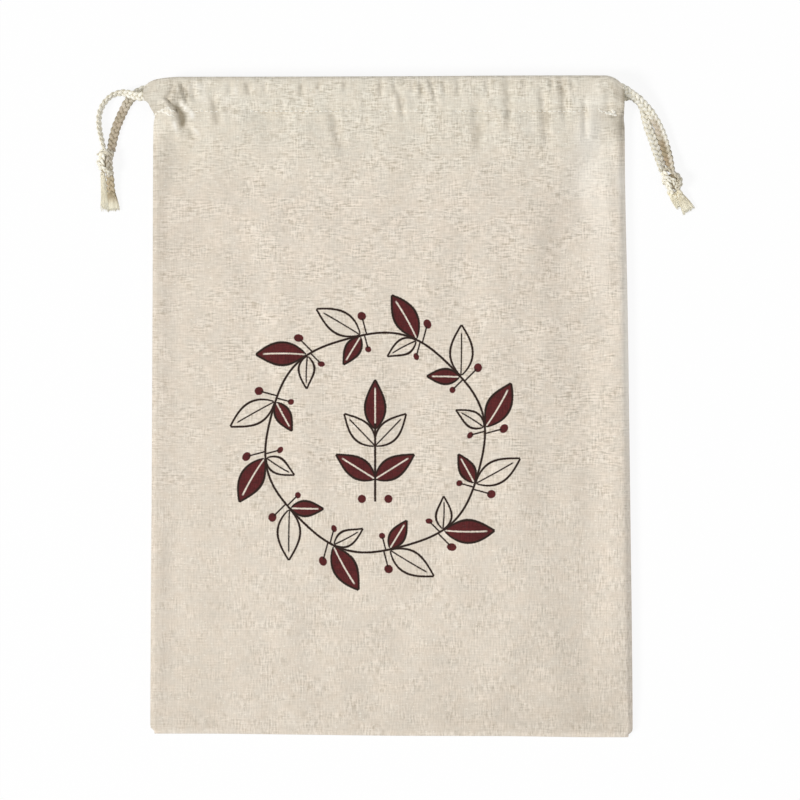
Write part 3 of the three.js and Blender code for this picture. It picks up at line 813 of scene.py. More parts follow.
def add_fibres(shape, tail, start, heading, across, draw):
    """Adds the loose fibres of a cut end, which fan out and settle on to the surface."""
    half = tail["width"] / 2 * MM
    for _ in range(tail["fibres"]):
        sideways = draw.uniform(-1, 1)
        lean = mix(*tail["leans"], (sideways + 1) / 2) * MM
        length = tail["length"] * MM * draw.uniform(0.85, 1.04)
        curl = draw.uniform(-1, 1) * 0.4 * MM
        t = np.linspace(0, 1, 7)[:, None]
        root = start + across * sideways * half * 0.9 - heading * FIBRE_START
        spread = lean * t ** tail["flare"] + curl * np.sin(t * 3.0)
        line = root + heading * (length + FIBRE_START) * t + across * spread
        arch = np.sqrt(max(1 - sideways**2, 0.0))
        high = root[2] + 0.95 * MM * arch
        low = (1.0 + 0.7 * arch + draw.uniform(-0.2, 0.2)) * MM
        line[:, 2] = mix(high, low, t[:, 0] ** SINK)
        tangent = tangents_of(line)
        sideward = unit(np.cross(tangent, UP))
        upward = np.cross(sideward, tangent)
        radius = draw.uniform(0.16, 0.26) * MM * (1 - 0.45 * t[:, 0])
        value = mix(0.5, draw.uniform(0.7, 1.1), t[:, 0])
        shade_and_tint = tail["shade_and_tint"] * (1 - ease(0.1, 0.75, t[:, 0]))
        radii = np.stack([radius, radius], axis=1)
        shape.add_tube(line, sideward, upward, radii, value, sides=5, shade_and_tint=shade_and_tint)


def make_tails(side, tails):
    """Makes the two frayed ends below a knot, each a short plait that opens into a brush."""
    pieces = []
    for number, tail in enumerate(tails):
        shape = Shape()
        line, lean, at = smooth_route(np.array(tail["line"]) * MM, TAIL_STATION)
        across, through = flat_frames(line, lean)
        width = tail["width"] * MM
        add_plait(shape, line, across, through, at, width, BAND_THICK, 50 + number, tail["shade_and_tint"])
        heading = unit(line[-1] - line[-6])  # of its last five steps
        add_brush(shape, tail, line[-1], heading, across[-1])
        add_fibres(shape, tail, line[-1], heading, across[-1], np.random.default_rng(70 + number))
        piece = shape.make(f"frayed_tail_{side}_{number + 1}", frayed_cotton, PLAIT_UV)
        pieces.append(piece)
    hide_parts(f"tails_{side}")
    return pieces


tails = {side: make_tails(side, rows) for side, rows in TAILS.items()}


# ---------------------------------------------------------------- the cloth's shape

# Sizes from here to the stitches are in millimetres, and the meshes are made in metres.
CLOTH = 1.0  # what a layer of the cloth takes up, where layers lie on each other
SHOWN_HALF = 0.36  # half the thickness that the cloth is drawn with
TOP = 200.0
FOOT = -200.0
CASING = 22.0
STITCH = TOP - CASING
HEM_EDGE = STITCH - 1.5
CASING_TOP = TOP - 4.4  # where the cloth starts to turn over at the top
FOOT_TURN = FOOT + 4.0  # and at the foot
HEM_RISE = 4.4  # how far above its stitches the hem gets to its full height
CHANNEL = {"front": 4.3, "back": 3.4}
MOUTH = {"middle": 4.4, "end": 3.0, "from": 85, "to": 135}
HEM = {"half_width": 128, "straight_to": 108}
LAP = 0.6  # between the two layers that are stitched together
SEWN_RISE = 1.4  # how much higher the front hem's stitched edge lies than the rest of it
SEWN_END_RISE = 2.4  # how far it is held above the back hem's at the side seams
OVER_CORDS = 1.35  # the deepest that the casing dips where a cord lies under it
END_DIP = 1.3  # how far the right end of the casing comes down round the cord

# The bag's left and right edges: y and x.
LEFT_EDGE = [
    (-200, -141.6), (-198, -143.3), (-194, -143.9), (-140, -143.7), (-60, -143.2), (60, -142.6),
    (140, -142.3), (168, -142.1), (174, -141.4), (176.6, -140.7), (178.6, -142.5), (181, -143.7),
    (184, -144.9), (186.5, -147.2), (190, -147.9), (195, -147.8), (200, -146),
]
RIGHT_EDGE = [
    (-200, 145.2), (-198, 147), (-194, 147.6), (-140, 147.2), (-60, 146.2), (60, 144.6),
    (140, 143), (168, 142.8), (175, 142.2), (178, 142.5), (186.5, 142.5), (190, 142.6),
    (195, 142.6), (200, 142),
]

# How far apart the front and the back are: the distance in from an edge, and the gap there.
LEFT_GAP = [
    (0, 0.3), (0.9, 2.2), (2.2, 3.9), (5, 3.9), (9, 3.3), (13, 3.1), (22, 4.1), (35, 5.8), (55, 8),
    (80, 9.8), (110, 10.5),
]
RIGHT_GAP = [
    (0, 0.3), (0.9, 2.4), (2.4, 4.6), (5, 5.5), (9, 5.5), (18, 4.4), (26, 3.8), (36, 4.9), (55, 8),
    (80, 10.2), (110, 10.5),
]
FOOT_GAP = [(0, 1.3), (2.4, 2.5), (6, 3.1), (12, 3.7), (25, 5.2), (50, 8.2), (85, 10.3), (120, 10.5)]

# How far the top edge hangs down, and the foot lies up or down, at places across the bag.
TOP_DROP = [(-148, 1.15), (-84, 1.15), (7, 0.85), (68, 0.4), (130, 0.2), (148, 0.2)]
FOOT_RISE = [(-148, 1.5), (-114, 1.5), (-54, 0.9), (7, 0.2), (68, 0.0), (128, -0.7), (148, -0.7)]

# Folds that the cords draw into the front: head x, y, tail x, y, half width and depth.
FOLDS = [
    (-134, 186.4, -126.8, 177.4, 1.3, 1.6), (-128.2, 182, -121.6, 163, 3.3, 2.3),
    (-129.2, 194.6, -133.8, 185.6, 1.5, 1.1), (-124.4, 195, -121, 182.4, 1.4, 1.3),
    (-118, 199, -117, 186, 1.8, 0.8), (-105.4, 186, -102.4, 170, 2, 1.3),
    (-96, 199, -95, 188, 1.7, 0.7), (-85.2, 199, -83.6, 188, 1.8, 1.1),
    (-74.5, 199, -74, 190, 1.5, 0.9), (-63.5, 183, -62, 170, 2, 0.6),
    (-52.4, 199, -52, 187, 1.5, 0.9), (-42, 199, -41.6, 190, 1.4, 0.8),
    (-34.8, 180, -27.5, 153, 2.8, 1.2), (-26.3, 199, -26, 190, 1.4, 0.8),
    (-15, 186, -14, 168, 2, 0.6), (-4.5, 199, -4.2, 187, 1.5, 1.1),
    (4, 199, 4.2, 190, 1.4, 0.9), (6.4, 191, 9.5, 174, 1.8, 1.2),
    (14.9, 199, 15, 190, 1.3, 0.8), (19.8, 197, 20.2, 187, 1.5, 1.2),
    (25.2, 199, 29, 184, 1.5, 1.3), (33.7, 199, 34.2, 189, 1.4, 0.9),
    (42, 199, 42.4, 188, 1.5, 1), (53.4, 182, 54.3, 154, 2.8, 1.3),
    (59.7, 199, 59.9, 189, 1.5, 0.8), (72.2, 198, 72.6, 166, 2.5, 1.2),
    (82, 199, 82.3, 190, 1.6, 0.7), (93, 189, 96, 158, 2.4, 1.4),
    (98.5, 199, 98.8, 189, 1.5, 1), (104.6, 199, 107, 174, 2.3, 1.3),
    (110.6, 199, 110.9, 190, 1.5, 0.9), (118.6, 184, 118.8, 162, 1.8, 1.1),
    (133.5, 193, 132, 174, 2.6, 0.8), (138.5, 186, 137, 172, 2, 0.6),
]

# Broad swells and hollows of the empty body: x, y, half sizes and height.
SWELLS = [
    (-70, 70, 70, 90, 0.5), (50, 40, 45, 110, -0.4), (-75, -125, 32, 26, 0.5),
    (20, -110, 60, 40, 0.3), (100, -160, 45, 30, -0.5),
]

BACK = CLOTH / 2
BACK_HEM = BACK + CLOTH + CHANNEL["back"]
BACK_HEM_SEWN = BACK + CLOTH + LAP
COLUMNS = 340


def soft_waves(seed, count, shortest, longest):
    """Gentle waves that run every way, about 1 high for each 100 mm of wavelength."""
    draw = np.random.default_rng(seed)
    waves = []
    for _ in range(count):
        length = draw.uniform(shortest, longest)
        way = draw.uniform(0, np.pi)
        start = draw.uniform(0, 6.28)
        waves.append((np.cos(way), np.sin(way), 2 * np.pi / length, start, length / 100))

    def height(x, y):
        return sum(
            high * np.sin((x * way_x + y * way_y) * turn + start)
            for way_x, way_y, turn, start, high in waves
        )

    return height


body_waves = soft_waves(seed=5, count=14, shortest=16, longest=52)
gather_waves = soft_waves(seed=8, count=10, shortest=4.5, longest=11)
WAVE_HEIGHT = 0.42  # of the waves of the body, for each 100 mm of their length
GATHER_HEIGHT = 1.1  # of the gathers beside the stitches


def mouth_gap(x):
    """The way in between the two hems."""
    return mix(MOUTH["middle"], MOUTH["end"], ease(MOUTH["from"], MOUTH["to"], np.abs(x)))


def front_hem(x):
    """Height of the front casing's inner layer."""
    return BACK_HEM + CLOTH + mouth_gap(x)


def front_casing(x):
    """The front casing's outer layer, over its channel."""
    return front_hem(x) + CLOTH + CHANNEL["front"]


def inward(x, y):
    """Distances in from the left and the right edge."""
    return x - smooth_table(LEFT_EDGE, y), smooth_table(RIGHT_EDGE, y) - x


def front_hem_sewn(x):
    """The hem where it is stitched to the front cloth, which the side seams hold down at its ends."""
    left, right = inward(x, np.full_like(x, STITCH))
    held_down = BACK_HEM_SEWN + CLOTH + LAP + SEWN_END_RISE
    return mix(held_down, front_hem(x) + SEWN_RISE, ease(-2, 26, np.minimum(left, right)))


def casing_foot(x):
    """The front casing's outer layer where it is stitched down."""
    return front_hem_sewn(x) + CLOTH + LAP


def casing_height(x, y):
    """The front casing's outer layer, before its folds. It rises fast near both ends of the casing."""
    left, right = inward(x, y)
    rise = y - STITCH
    slow = smooth_table([(0, 0), (4.5, 0.5), (10, 0.82), (18, 1)], rise)
    lift = mix(ease(0, 6.5, rise), slow, ease(8, 26, np.minimum(left, right)))
    return mix(casing_foot(x), front_casing(x), lift)


def along_folds(y):
    """For each fold, how far along it a y is, its middle there, its half width and its depth."""
    for head_x, head_y, tail_x, tail_y, half, deep in FOLDS:
        along = (head_y - y) / (head_y - tail_y)
        yield along, mix(head_x, tail_x, along), half, deep


def fold_depth(x, y):
    """How deep the folds are, with a low ridge along both sides of each."""
    depth = np.zeros_like(x)
    for along, middle, half, deep in along_folds(y):
        reach = ease(-0.25, 0.15, along) * (1 - ease(0.7, 1.25, along))
        ridges = bell(x, middle - 2 * half, half) + bell(x, middle + 2 * half, half)
        depth += deep * reach * (bell(x, middle, half) - 0.28 * ridges)
    _, right = inward(x, y)
    depth += END_DIP * (1 - ease(0.5, 9, right)) * ease(STITCH + 3, STITCH + 8, y)
    held_up = np.minimum(depth, OVER_CORDS)
    return mix(depth, held_up, ease(STITCH, STITCH + 4, y))


# Soft spots of painted shade (over 0) and painted light (under 0) on the cloth, with some that are only
# darker and lighter: x, y, half sizes and strength.
SHADE_AND_LIGHT_SPOTS = [
    # painted shade in the deepest fold and painted highlights beside it
    (-124.4, 173.5, 4.2, 6, 0.08), (-122, 163, 8, 10, 0.09), (-131.5, 167.5, 3.5, 8, 0.14),
    (-121, 152, 4.5, 8, 0.1), (-125.5, 185.4, 6.5, 4.5, 0.34), (-128, 190.5, 5.5, 4, 0.15),
    (-131.6, 183.6, 2.6, 1.6, 0.2), (-127.8, 180.4, 2.6, 2.2, 0.5), (-125, 182.2, 1.3, 1.6, -0.95),
    (-122.6, 180, 1.4, 1.6, -0.95), (-140, 167, 3.5, 8, -0.25),
    # along the left half of the casing and under it
    (-113.8, 193.5, 5, 4.5, -0.5), (-98, 193, 6, 4.5, -0.25), (-79, 193, 6, 4.5, -0.18),
    (-111, 185.5, 4, 4, -0.3), (-97.5, 185.5, 5, 4, -0.2), (-92, 190.5, 1.4, 5.5, -0.3),
    (-86, 192, 2.6, 5, 0.14), (-105, 180.5, 2.6, 3.4, 0.18), (-104, 173.5, 2.4, 5, 0.14),
    (-90, 176, 16, 7, -0.2), (-111.5, 167, 5, 7, -0.18), (-46, 161, 7, 7, -0.14),
    # painted shade at the right end of the casing and under it, below the bunched casing and its lock
    # stitches, and lighter patches further in and lower down
    (138.5, 188, 6.5, 8, 0.42), (134.4, 174.9, 4.5, 0.8, 0.6), (104, 189, 4, 7, 0.1),
    (130, 187.5, 7, 8, 0.07), (142.5, 186.5, 1.5, 9, 0.75), (140.3, 170, 3.6, 8, 0.26),
    (137.5, 169, 5.5, 6.5, 0.24), (131, 170, 7, 8, 0.08),
    (139, 165, 6, 9, 0.15), (119, 165, 8, 12, -0.26), (84, 169, 8, 10, -0.22),
    (114, 140, 9, 18, -0.3), (140.5, 138, 3, 14, -0.22), (128, 55, 8, 30, -0.13),
    # down the left side and along the foot
    (-134, 145, 7, 14, 0.09), (-134, 96, 7, 14, 0.09), (-139.5, 115, 4, 40, 0.08),
    (-90, -182, 9, 14, -0.18), (44, -188, 22, 9, 0.1), (112, -190, 36, 12, 0.07),
]


def broad_shade_and_light(x, y):
    """How much broad shade (over 0) and light (under 0) is painted on the cloth from one part to
    another.
    """
    left, right = inward(x, y)
    # painted shade toward the foot, most on the right, and along the top edge, painted light just above
    # the stitches, painted shade along the left edge and a little darker further in, and painted light
    # along the lower right edge and in a band down the right side
    foot = mix(0.045, mix(0.08, 0.18, ease(40, 140, x)), ease(-110, -20, x)) * ease(-100, FOOT, y)
    top = 0.13 * ease(192, 199.5, y) - 0.1 * bell(y, 184.5, 3.4)
    left_side = 0.18 * (1 - ease(0, 6, left)) + 0.08 * bell(left, 34, 24)
    right_side = -(0.24 + 0.45 * bell(y, 40, 70)) * (1 - ease(0, 7, right)) * ease(165, 138, y)
    right_band = -0.3 * bell(x, 127, 12) * ease(40, 120, y)
    return foot + top + left_side + right_side + right_band + spots(SHADE_AND_LIGHT_SPOTS, x, y)


def cloth_shade_and_light(x, y):
    """How much shade is painted on the cloth (up to 1), as inside a deep fold, and how much light
    (under 0), as beside one.
    """
    shade = broad_shade_and_light(x, y)
    waver = 3.0 * gather_waves(x * 0.2, y * 0.9)
    blotches = np.clip(1 + 4.0 * gather_waves(x * 0.8, y * 0.6), 0.2, 1.6)
    for along, middle, half, deep in along_folds(y):
        reach = ease(-0.2, 0.35, along) * (1 - ease(0.55, 1.2, along))
        middle = middle + 0.3 * half + waver
        # painted shade down the middle of each fold
        dark = (deep / 3) ** 1.6 * bell(x, middle, half * 0.9) * blotches
        beside = bell(x, middle + 1.9 * half, half * 0.6) + bell(x, middle - 2 * half, half * 0.6)
        # painted highlights along both sides of the deeper folds
        pale = 0.6 * ease(1.4, 2.4, deep) * beside * blotches
        shade = shade + reach * (dark - pale)
    return np.clip(shade, -1, 1)


def front_body(x, y):
    """The front cloth between the stitch line and the foot, before its folds."""
    left, right = inward(x, y)
    left_gap = smooth_table(LEFT_GAP, np.maximum(left, 0))
    right_gap = smooth_table(RIGHT_GAP, np.maximum(right, 0))
    side = np.minimum(left_gap, right_gap)
    foot = smooth_table(FOOT_GAP, y - FOOT)
    sharpness = 1.6
    lower = -np.log(np.exp(-side * sharpness) + np.exp(-foot * sharpness)) / sharpness
    nearest = np.minimum(left, right)
    lying = BACK + CLOTH + lower + spots(SWELLS, x, y) * ease(6, 40, nearest)
    slope_length = mix(12, 60, ease(0, 45, nearest))
    lift = ease(0, slope_length, slope_length - (STITCH - y))
    height = mix(lying, casing_foot(x), lift)
    closed = BACK + 2 * SHOWN_HALF + 0.06
    return mix(closed, height, ease(-0.1, 2.2, nearest) ** 0.6)


def drawn_in(x, y):
    """The small gathers on both sides of the stitch line, and the dip of the line itself."""
    gathers = GATHER_HEIGHT * gather_waves(x, y * 0.12)
    above = np.exp(-np.maximum(y - STITCH, 0) / 5.0)
    below = np.exp(-np.maximum(STITCH - y, 0) / 9.0)
    line = 0.1 * bell(y, STITCH, 0.9)
    return gathers * above * below + line


def top_at(x):
    """The top edge falls away to both ends of the casings."""
    left = np.maximum(-126 - x, 0) / 20
    right = np.maximum(x - 131, 0) / 11
    return TOP - smooth_table(TOP_DROP, x) - 2.9 * left**1.7 - 5.6 * right**1.7


def fallen(x, y):
    """Where a place on the casings lies up the bag once the top has fallen."""
    above = STITCH + (y - STITCH) * (top_at(x) - STITCH) / (TOP - STITCH)
    return np.where(y > STITCH, above, y)


def shifted(x, y):
    """Where a place lies up the bag once the top has fallen and the foot lies a little askew."""
    return fallen(x, y) + smooth_table(FOOT_RISE, x) * ease(-120, FOOT, y)


def tucked_in(x, edge):
    """Where a point of the outer cloth lies across the bag once it is turned into the hem."""
    beyond = np.maximum(np.abs(x) - HEM["straight_to"], 0)
    scale = (HEM["half_width"] - HEM["straight_to"]) / (edge - HEM["straight_to"])
    return np.sign(x) * (np.abs(x) - beyond * (1 - scale))


# How far the turned cloth bulges out at the top and at the foot, and the angle on both sides of
# level, in degrees, at which its rows there start and end.
TOP_REACH = 2.6
FOOT_REACH = 1.9
TOP_ANGLE = 78
FOOT_ANGLE = 75


def runs():
    """The rows of the strip, from the raw edge of the front hem round to that of the back hem."""

    def straight(run, *marks):
        """marks are y, step, y, step, ... y"""
        places = []
        for start, step, end in zip(marks[0::2], marks[1::2], marks[2::2]):
            count = max(1, int(round(abs(end - start) / step)))
            places += list(np.linspace(start, end, count, endpoint=False))
        return [(run, y, None) for y in [*places, marks[-1]]]

    def fold(run, start, end, count):
        return [(run, None, angle) for angle in np.linspace(start, end, count)]

    return [
        *straight("front hem", HEM_EDGE, 0.75, STITCH, 0.9, STITCH + HEM_RISE, 2.5, CASING_TOP),
        *fold("front top", -TOP_ANGLE, TOP_ANGLE, 11),
        *straight("front casing", CASING_TOP, 0.85, STITCH + 0.6),
        *straight(
            "front body", STITCH, 0.7, 174, 1.1, 150, 2.4, 110, 5, -165, 2.4, -188, 1.4, FOOT_TURN
        ),
        *fold("foot", FOOT_ANGLE, -FOOT_ANGLE, 11),
        *straight("back", FOOT_TURN, 3, -180, 20, 160, 3, STITCH, 2.2, CASING_TOP),
        *fold("back top", -TOP_ANGLE, TOP_ANGLE, 9),
        *straight("back hem", CASING_TOP, 3, STITCH + HEM_RISE, 1.1, STITCH, 0.75, HEM_EDGE),
    ]


def strip_row(run, y, turn, share):
    """Middle of the cloth along one row of the strip."""
    angle = math.radians(turn or 0)
    at_top = run.endswith("top")
    nominal = y if y is not None else (TOP if at_top else FOOT)
    toward_hem = -angle if run == "front top" else angle
    hem_share = (1 + math.sin(toward_hem)) / 2 if at_top else float(run.endswith("hem"))
    left = smooth_table(LEFT_EDGE, nominal)
    right = smooth_table(RIGHT_EDGE, nominal)
    outer = mix(left, right, share)
    x = mix(outer, tucked_in(outer, np.where(outer < 0, -left, right)), hem_share)
    level = np.full_like(x, nominal)

    def round_fold(low, high, middle_y, reach):
        height = (low + high) / 2 + (high - low) / 2 * math.sin(angle)
        return middle_y + reach * math.cos(angle), height

    hem_lift = ease(STITCH, STITCH + HEM_RISE, level)
    fold_middle = fallen(x, np.full_like(x, TOP - CLOTH / 2 - TOP_REACH))
    if run == "front hem":
        sewn = front_hem_sewn(x) - fold_depth(x, np.full_like(x, STITCH))
        place = fallen(x, level), mix(sewn, front_hem(x), hem_lift)
    elif run == "front top":
        outer_height = front_casing(x) - fold_depth(x, level)
        place = round_fold(front_hem(x), outer_height, fold_middle, TOP_REACH)
    elif run == "front casing":
        height = casing_height(x, level) - fold_depth(x, level) - drawn_in(x, level)
        place = fallen(x, level), height
    elif run == "front body":
        left_in, right_in = inward(x, level)
        middle_part = ease(3, 14, np.minimum(left_in, right_in)) * ease(0, 12, level - FOOT)
        waves = WAVE_HEIGHT * body_waves(x, level) * middle_part
        height = front_body(x, level) - fold_depth(x, level) - drawn_in(x, level) * middle_part + waves
        place = shifted(x, level), height
    elif run == "foot":
        fold_middle = shifted(x, level) + CLOTH / 2 + FOOT_REACH
        place = round_fold(BACK, front_body(x, level), fold_middle, -FOOT_REACH)
    elif run == "back":
        place = shifted(x, level), np.full_like(x, BACK)
    elif run == "back top":
        place = round_fold(BACK, BACK_HEM, fold_middle, TOP_REACH)
    else:
        place = fallen(x, level), mix(BACK_HEM_SEWN, BACK_HEM, hem_lift)
    return np.stack(np.broadcast_arrays(x, *place), axis=1)


CLOTH_UV = "Cloth"
INSIDE_SHIFT = 0.5  # of its map, so that the inside shows another stretch of the weave


def cloth_layers():
    """The strip's face and inside as grids, and what the cloth's material reads at each point."""
    share = np.linspace(0, 1, COLUMNS)
    rows = runs()
    middle = np.stack([strip_row(*row, share) for row in rows])
    along = np.gradient(middle, axis=0)
    across = np.gradient(middle, axis=1)
    normal = unit(np.cross(along, across))
    face = middle + normal * SHOWN_HALF
    inside = middle - normal * SHOWN_HALF
    length = distances_along(middle[:, COLUMNS // 2])
    uv = np.stack(np.broadcast_arrays(middle[..., 0], length[:, None]), axis=-1)
    in_front = np.array([run in ("front body", "front casing") for run, _, _ in rows], float)[:, None]
    printed = np.array([run == "front body" for run, _, _ in rows], float)[:, None]
    # painted shade and light on the front of the bag
    dark = cloth_shade_and_light(middle[..., 0], middle[..., 1]) * in_front
    return face, inside, uv, printed, dark, float(length[-1])


def rim(grid):
    """The points round the edge of a grid."""
    return np.concatenate([grid[0], grid[1:, -1], grid[-1, -2::-1], grid[-2::-1, 0]])


def make_cloth(material):
    """Makes the sheet: its face, its inside and the raw edge between them."""
    face, inside, uv, printed, dark, length = cloth_layers()
    shape = Shape()
    shape.add_grid(face * MM, uv * MM, printed, flip=True, shade_and_tint=dark)
    shape.add_grid(inside[::2, ::2] * MM, uv[::2, ::2] * MM + INSIDE_SHIFT, 0.0)
    edge = np.stack([rim(face), rim(inside)])
    edge_uv = np.stack([rim(uv), rim(uv)])
    shape.add_grid(edge * MM, edge_uv * MM, 0.0)
    return shape.make("bag_sheet", material, CLOTH_UV), length


# ---------------------------------------------------------------- the printed design

PRINT_MIDDLE = (-8.0, -22.0)
RING = 66.0
SPRIGS = 12
LINE = 1.4
THIN_LINE = 1.0
RIB_LINE = 0.9
SOFT = 0.22  # how soft the edge of the ink is


def inside_line(distance, width=LINE):
    """1 within half a width of a line, from the distance to it."""
    return distance.between(width / 2 + SOFT, width / 2 - SOFT)


def turned_to(x, y, degrees):
    """Coordinates along and across a direction that leans this far clockwise from +y."""
    angle = math.radians(degrees)
    return x * math.sin(angle) + y * math.cos(angle), x * math.cos(angle) - y * math.sin(angle)


def leaf(along, across, length, half):
    """A leaf's blade, outline and midrib, each from 0 to 1, from its foot at the origin."""
    share = (along / length).clamped()
    width = ((share ** 0.82) * math.pi).run("SINE") * half
    off = abs(across) - width
    present = along.between(-0.2, 0.2) * along.between(length + 0.2, length - 0.2)
    blade = off.between(SOFT, -SOFT) * present
    outline = inside_line(abs(off)) * present
    rib = inside_line(abs(across), RIB_LINE) * along.between(length * 0.86, length * 0.8) * present
    return blade, outline, rib


def dot(x, y, middle_x, middle_y, radius):
    """1 inside a round spot."""
    right = x - middle_x
    up = y - middle_y
    distance = (right * right + up * up).run("SQRT")
    return distance.between(radius + SOFT, radius - SOFT)


def berry_on_stalk(across, out, side, high, radius, stalk):
    """A round berry, and the thin stalk that holds it out from the ring."""
    line = inside_line(abs(across - side), THIN_LINE) * out.between(0.0, 0.4)
    return dot(across, out, side, high, radius), line * out.between(stalk + 0.4, stalk)


def leaf_ring(x, y):
    """The ring of leaves and berries: where it is filled and where it is a line."""
    radius = (x * x + y * y).run("SQRT")
    angle = y.run("ARCTAN2", x)
    sector = 2 * math.pi / SPRIGS
    turns = angle / sector + SPRIGS
    number = turns.run("FLOOR")
    across = (turns - number - 0.5) * sector * radius
    out = radius - RING - (angle * 6).run("SINE") * 1.2
    back = out * -1
    odd = (number * 0.5 - (number * 0.5).run("FLOOR")) * 2.0
    even = 1.0 - odd
    stem = inside_line(abs(out))
    # each sprig has a leaf and a berry outside the ring and smaller ones inside it, and the outer
    # leaf is filled on every second sprig, the inner one on the others
    outer, outer_line, outer_rib = leaf(*turned_to(across + 8.0, out - 0.6, 44), 31.0, 6.8)
    inner, inner_line, inner_rib = leaf(*turned_to(across + 8.0, back - 0.6, 46), 20.0, 4.6)
    berry, stalk = berry_on_stalk(across, out, -12.0, 11.5, 2.6, 10.0)
    small_berry, small_stalk = berry_on_stalk(across, back, -10.6, 9.0, 1.9, 8.0)
    outer_filled = outer * even * (1.0 - outer_rib)
    inner_filled = inner * odd * (1.0 - inner_rib)
    ribs = outer_rib * odd, inner_rib * even
    filled = largest(outer_filled, inner_filled, berry, small_berry)
    return filled, largest(stem, outer_line, inner_line, *ribs, stalk, small_stalk)


def centre_sprig(x, y):
    """A small upright sprig of five leaves in the middle of the ring."""
    mirrored = abs(x)
    stem = inside_line(mirrored) * y.between(-36.0, -35.4) * y.between(12.0, 11.4)
    low, low_line, low_rib = leaf(*turned_to(mirrored, y + 22.0, 58), 28.0, 6.2)
    _, high_line, high_rib = leaf(*turned_to(mirrored, y + 2.0, 44), 27.0, 6.0)
    tip, tip_line, tip_rib = leaf(y - 8.0, x, 30.0, 6.2)
    berry = dot(mirrored, y, 8.0, -34.0, 2.5)
    filled = largest(low * (1.0 - low_rib), tip * (1.0 - tip_rib), berry)
    return filled, largest(stem, low_line, high_line, high_rib, tip_line)


# ---------------------------------------------------------------- the cotton-linen

THREAD = 0.95  # from one thread to the next, in millimetres

PALE_THREADS = (from_srgb(241, 229, 214), from_srgb(238, 228, 214))
DARK_THREADS = (from_srgb(184, 170, 149), from_srgb(182, 171, 154))
FLECK = from_srgb(158, 138, 106)
GLINT = from_srgb(251, 246, 235)
# the pale colour that painted light mixes the cloth toward, and the tint that painted shade darkens it
# by
CLOTH_LIGHT_AND_PALE = from_srgb(253, 249, 240)
PAINTED_SHADE_TINT = (0.36, 0.335, 0.285, 1.0)
TOP_TINT = (0.985, 1.02, 1.015, 1.0)  # the cloth is a little greener toward the mouth
FILL_INK = (from_srgb(64, 18, 20), from_srgb(98, 38, 38))
LINE_INK = from_srgb(40, 24, 17)


def weave(u, v):
    """Height of a plain weave and the slubs of its threads both ways, each from 0 to 1."""
    waver = (noise(u * 0.22, v * 0.22, seed=1.0) - 0.5) * 0.9
    warp = ((u + waver) * (math.pi / THREAD)).run("SINE")
    weft = ((v + waver * 0.8) * (math.pi / THREAD)).run("SINE")
    over = (warp * weft * 1.6 + 0.5).clamped()
    threads = abs(warp) * over + abs(weft) * (1.0 - over)
    across_slub = noise(u * 0.18, v * 1.05, roughness=0.55, seed=4.0)
    up_slub = noise(u * 1.05, v * 0.18, roughness=0.55, seed=9.0)
    return threads, across_slub, up_slub


def thread_tones(x, y, across_slub, up_slub):
    """How the threads across the bag and up it stand out, darker under 0 and paler over 0.

    Those across it show most in its upper part and those up it in the lower part, and both show
    least near the left side.
    """
    low = y.between(-38.0, -68.0)
    near_left = x.between(-72.0, -108.0) * y.between(184.0, 172.0)
    across_tone = (across_slub - 0.5) * (1.0 - low * 0.58) * (1.12 - near_left * 0.2)
    up_tone = (up_slub - 0.5) * (1.0 + low * 0.12) * (1.12 - near_left * 0.36)
    return across_tone, up_tone


def plain_cloth(u, v, y, tone):
    """The colour of the unprinted cloth, with dark flecks and pale glints in its threads."""
    tint = noise(u * 0.11, v * 0.13, detail=3.0, seed=20.0).between(0.3, 0.7)
    flecks = noise(u * 0.3, v * 1.1, seed=31.0).between(0.68, 0.78)
    glints = noise(u * 0.5, v, seed=37.0).between(0.62, 0.72)
    pale = mixed_colour(tint, *PALE_THREADS)
    dark = mixed_colour(tint, *DARK_THREADS)
    colour = mixed_colour((tone + 0.66).clamped(), dark, pale)
    colour = mixed_colour(flecks * 0.33, colour, FLECK)
    colour = mixed_colour(glints * 0.6, colour, GLINT)
    return mixed_colour(y.between(110.0, 190.0), colour, TOP_TINT, blend="MULTIPLY")


def shaded_and_lit_cloth(colour, painted_level):
    """A colour with painted shade (over 0) and painted light (under 0) mixed into it."""
    colour = mixed_colour(painted_level.between(-1.0, 0.0) * -1.0 + 1.0, colour, CLOTH_LIGHT_AND_PALE)
    return mixed_colour(painted_level.clamped(), colour, PAINTED_SHADE_TINT, blend="MULTIPLY")


def printed_over(colour, x, y, taken, ink_tone):
    """A colour with the print over it, from how much of the ink each place took, 0 to 1."""
    ring_filled, ring_lines = leaf_ring(x, y)
    sprig_filled, sprig_lines = centre_sprig(x, y)
    face = point_value(x.tree, "height")
    filled = largest(ring_filled, sprig_filled) * face * taken
    lines = largest(ring_lines, sprig_lines) * face * (taken * 0.5 + 0.5)
    printed = mixed_colour(filled, colour, mixed_colour(ink_tone, *FILL_INK))
    return mixed_colour(lines, printed, LINE_INK)


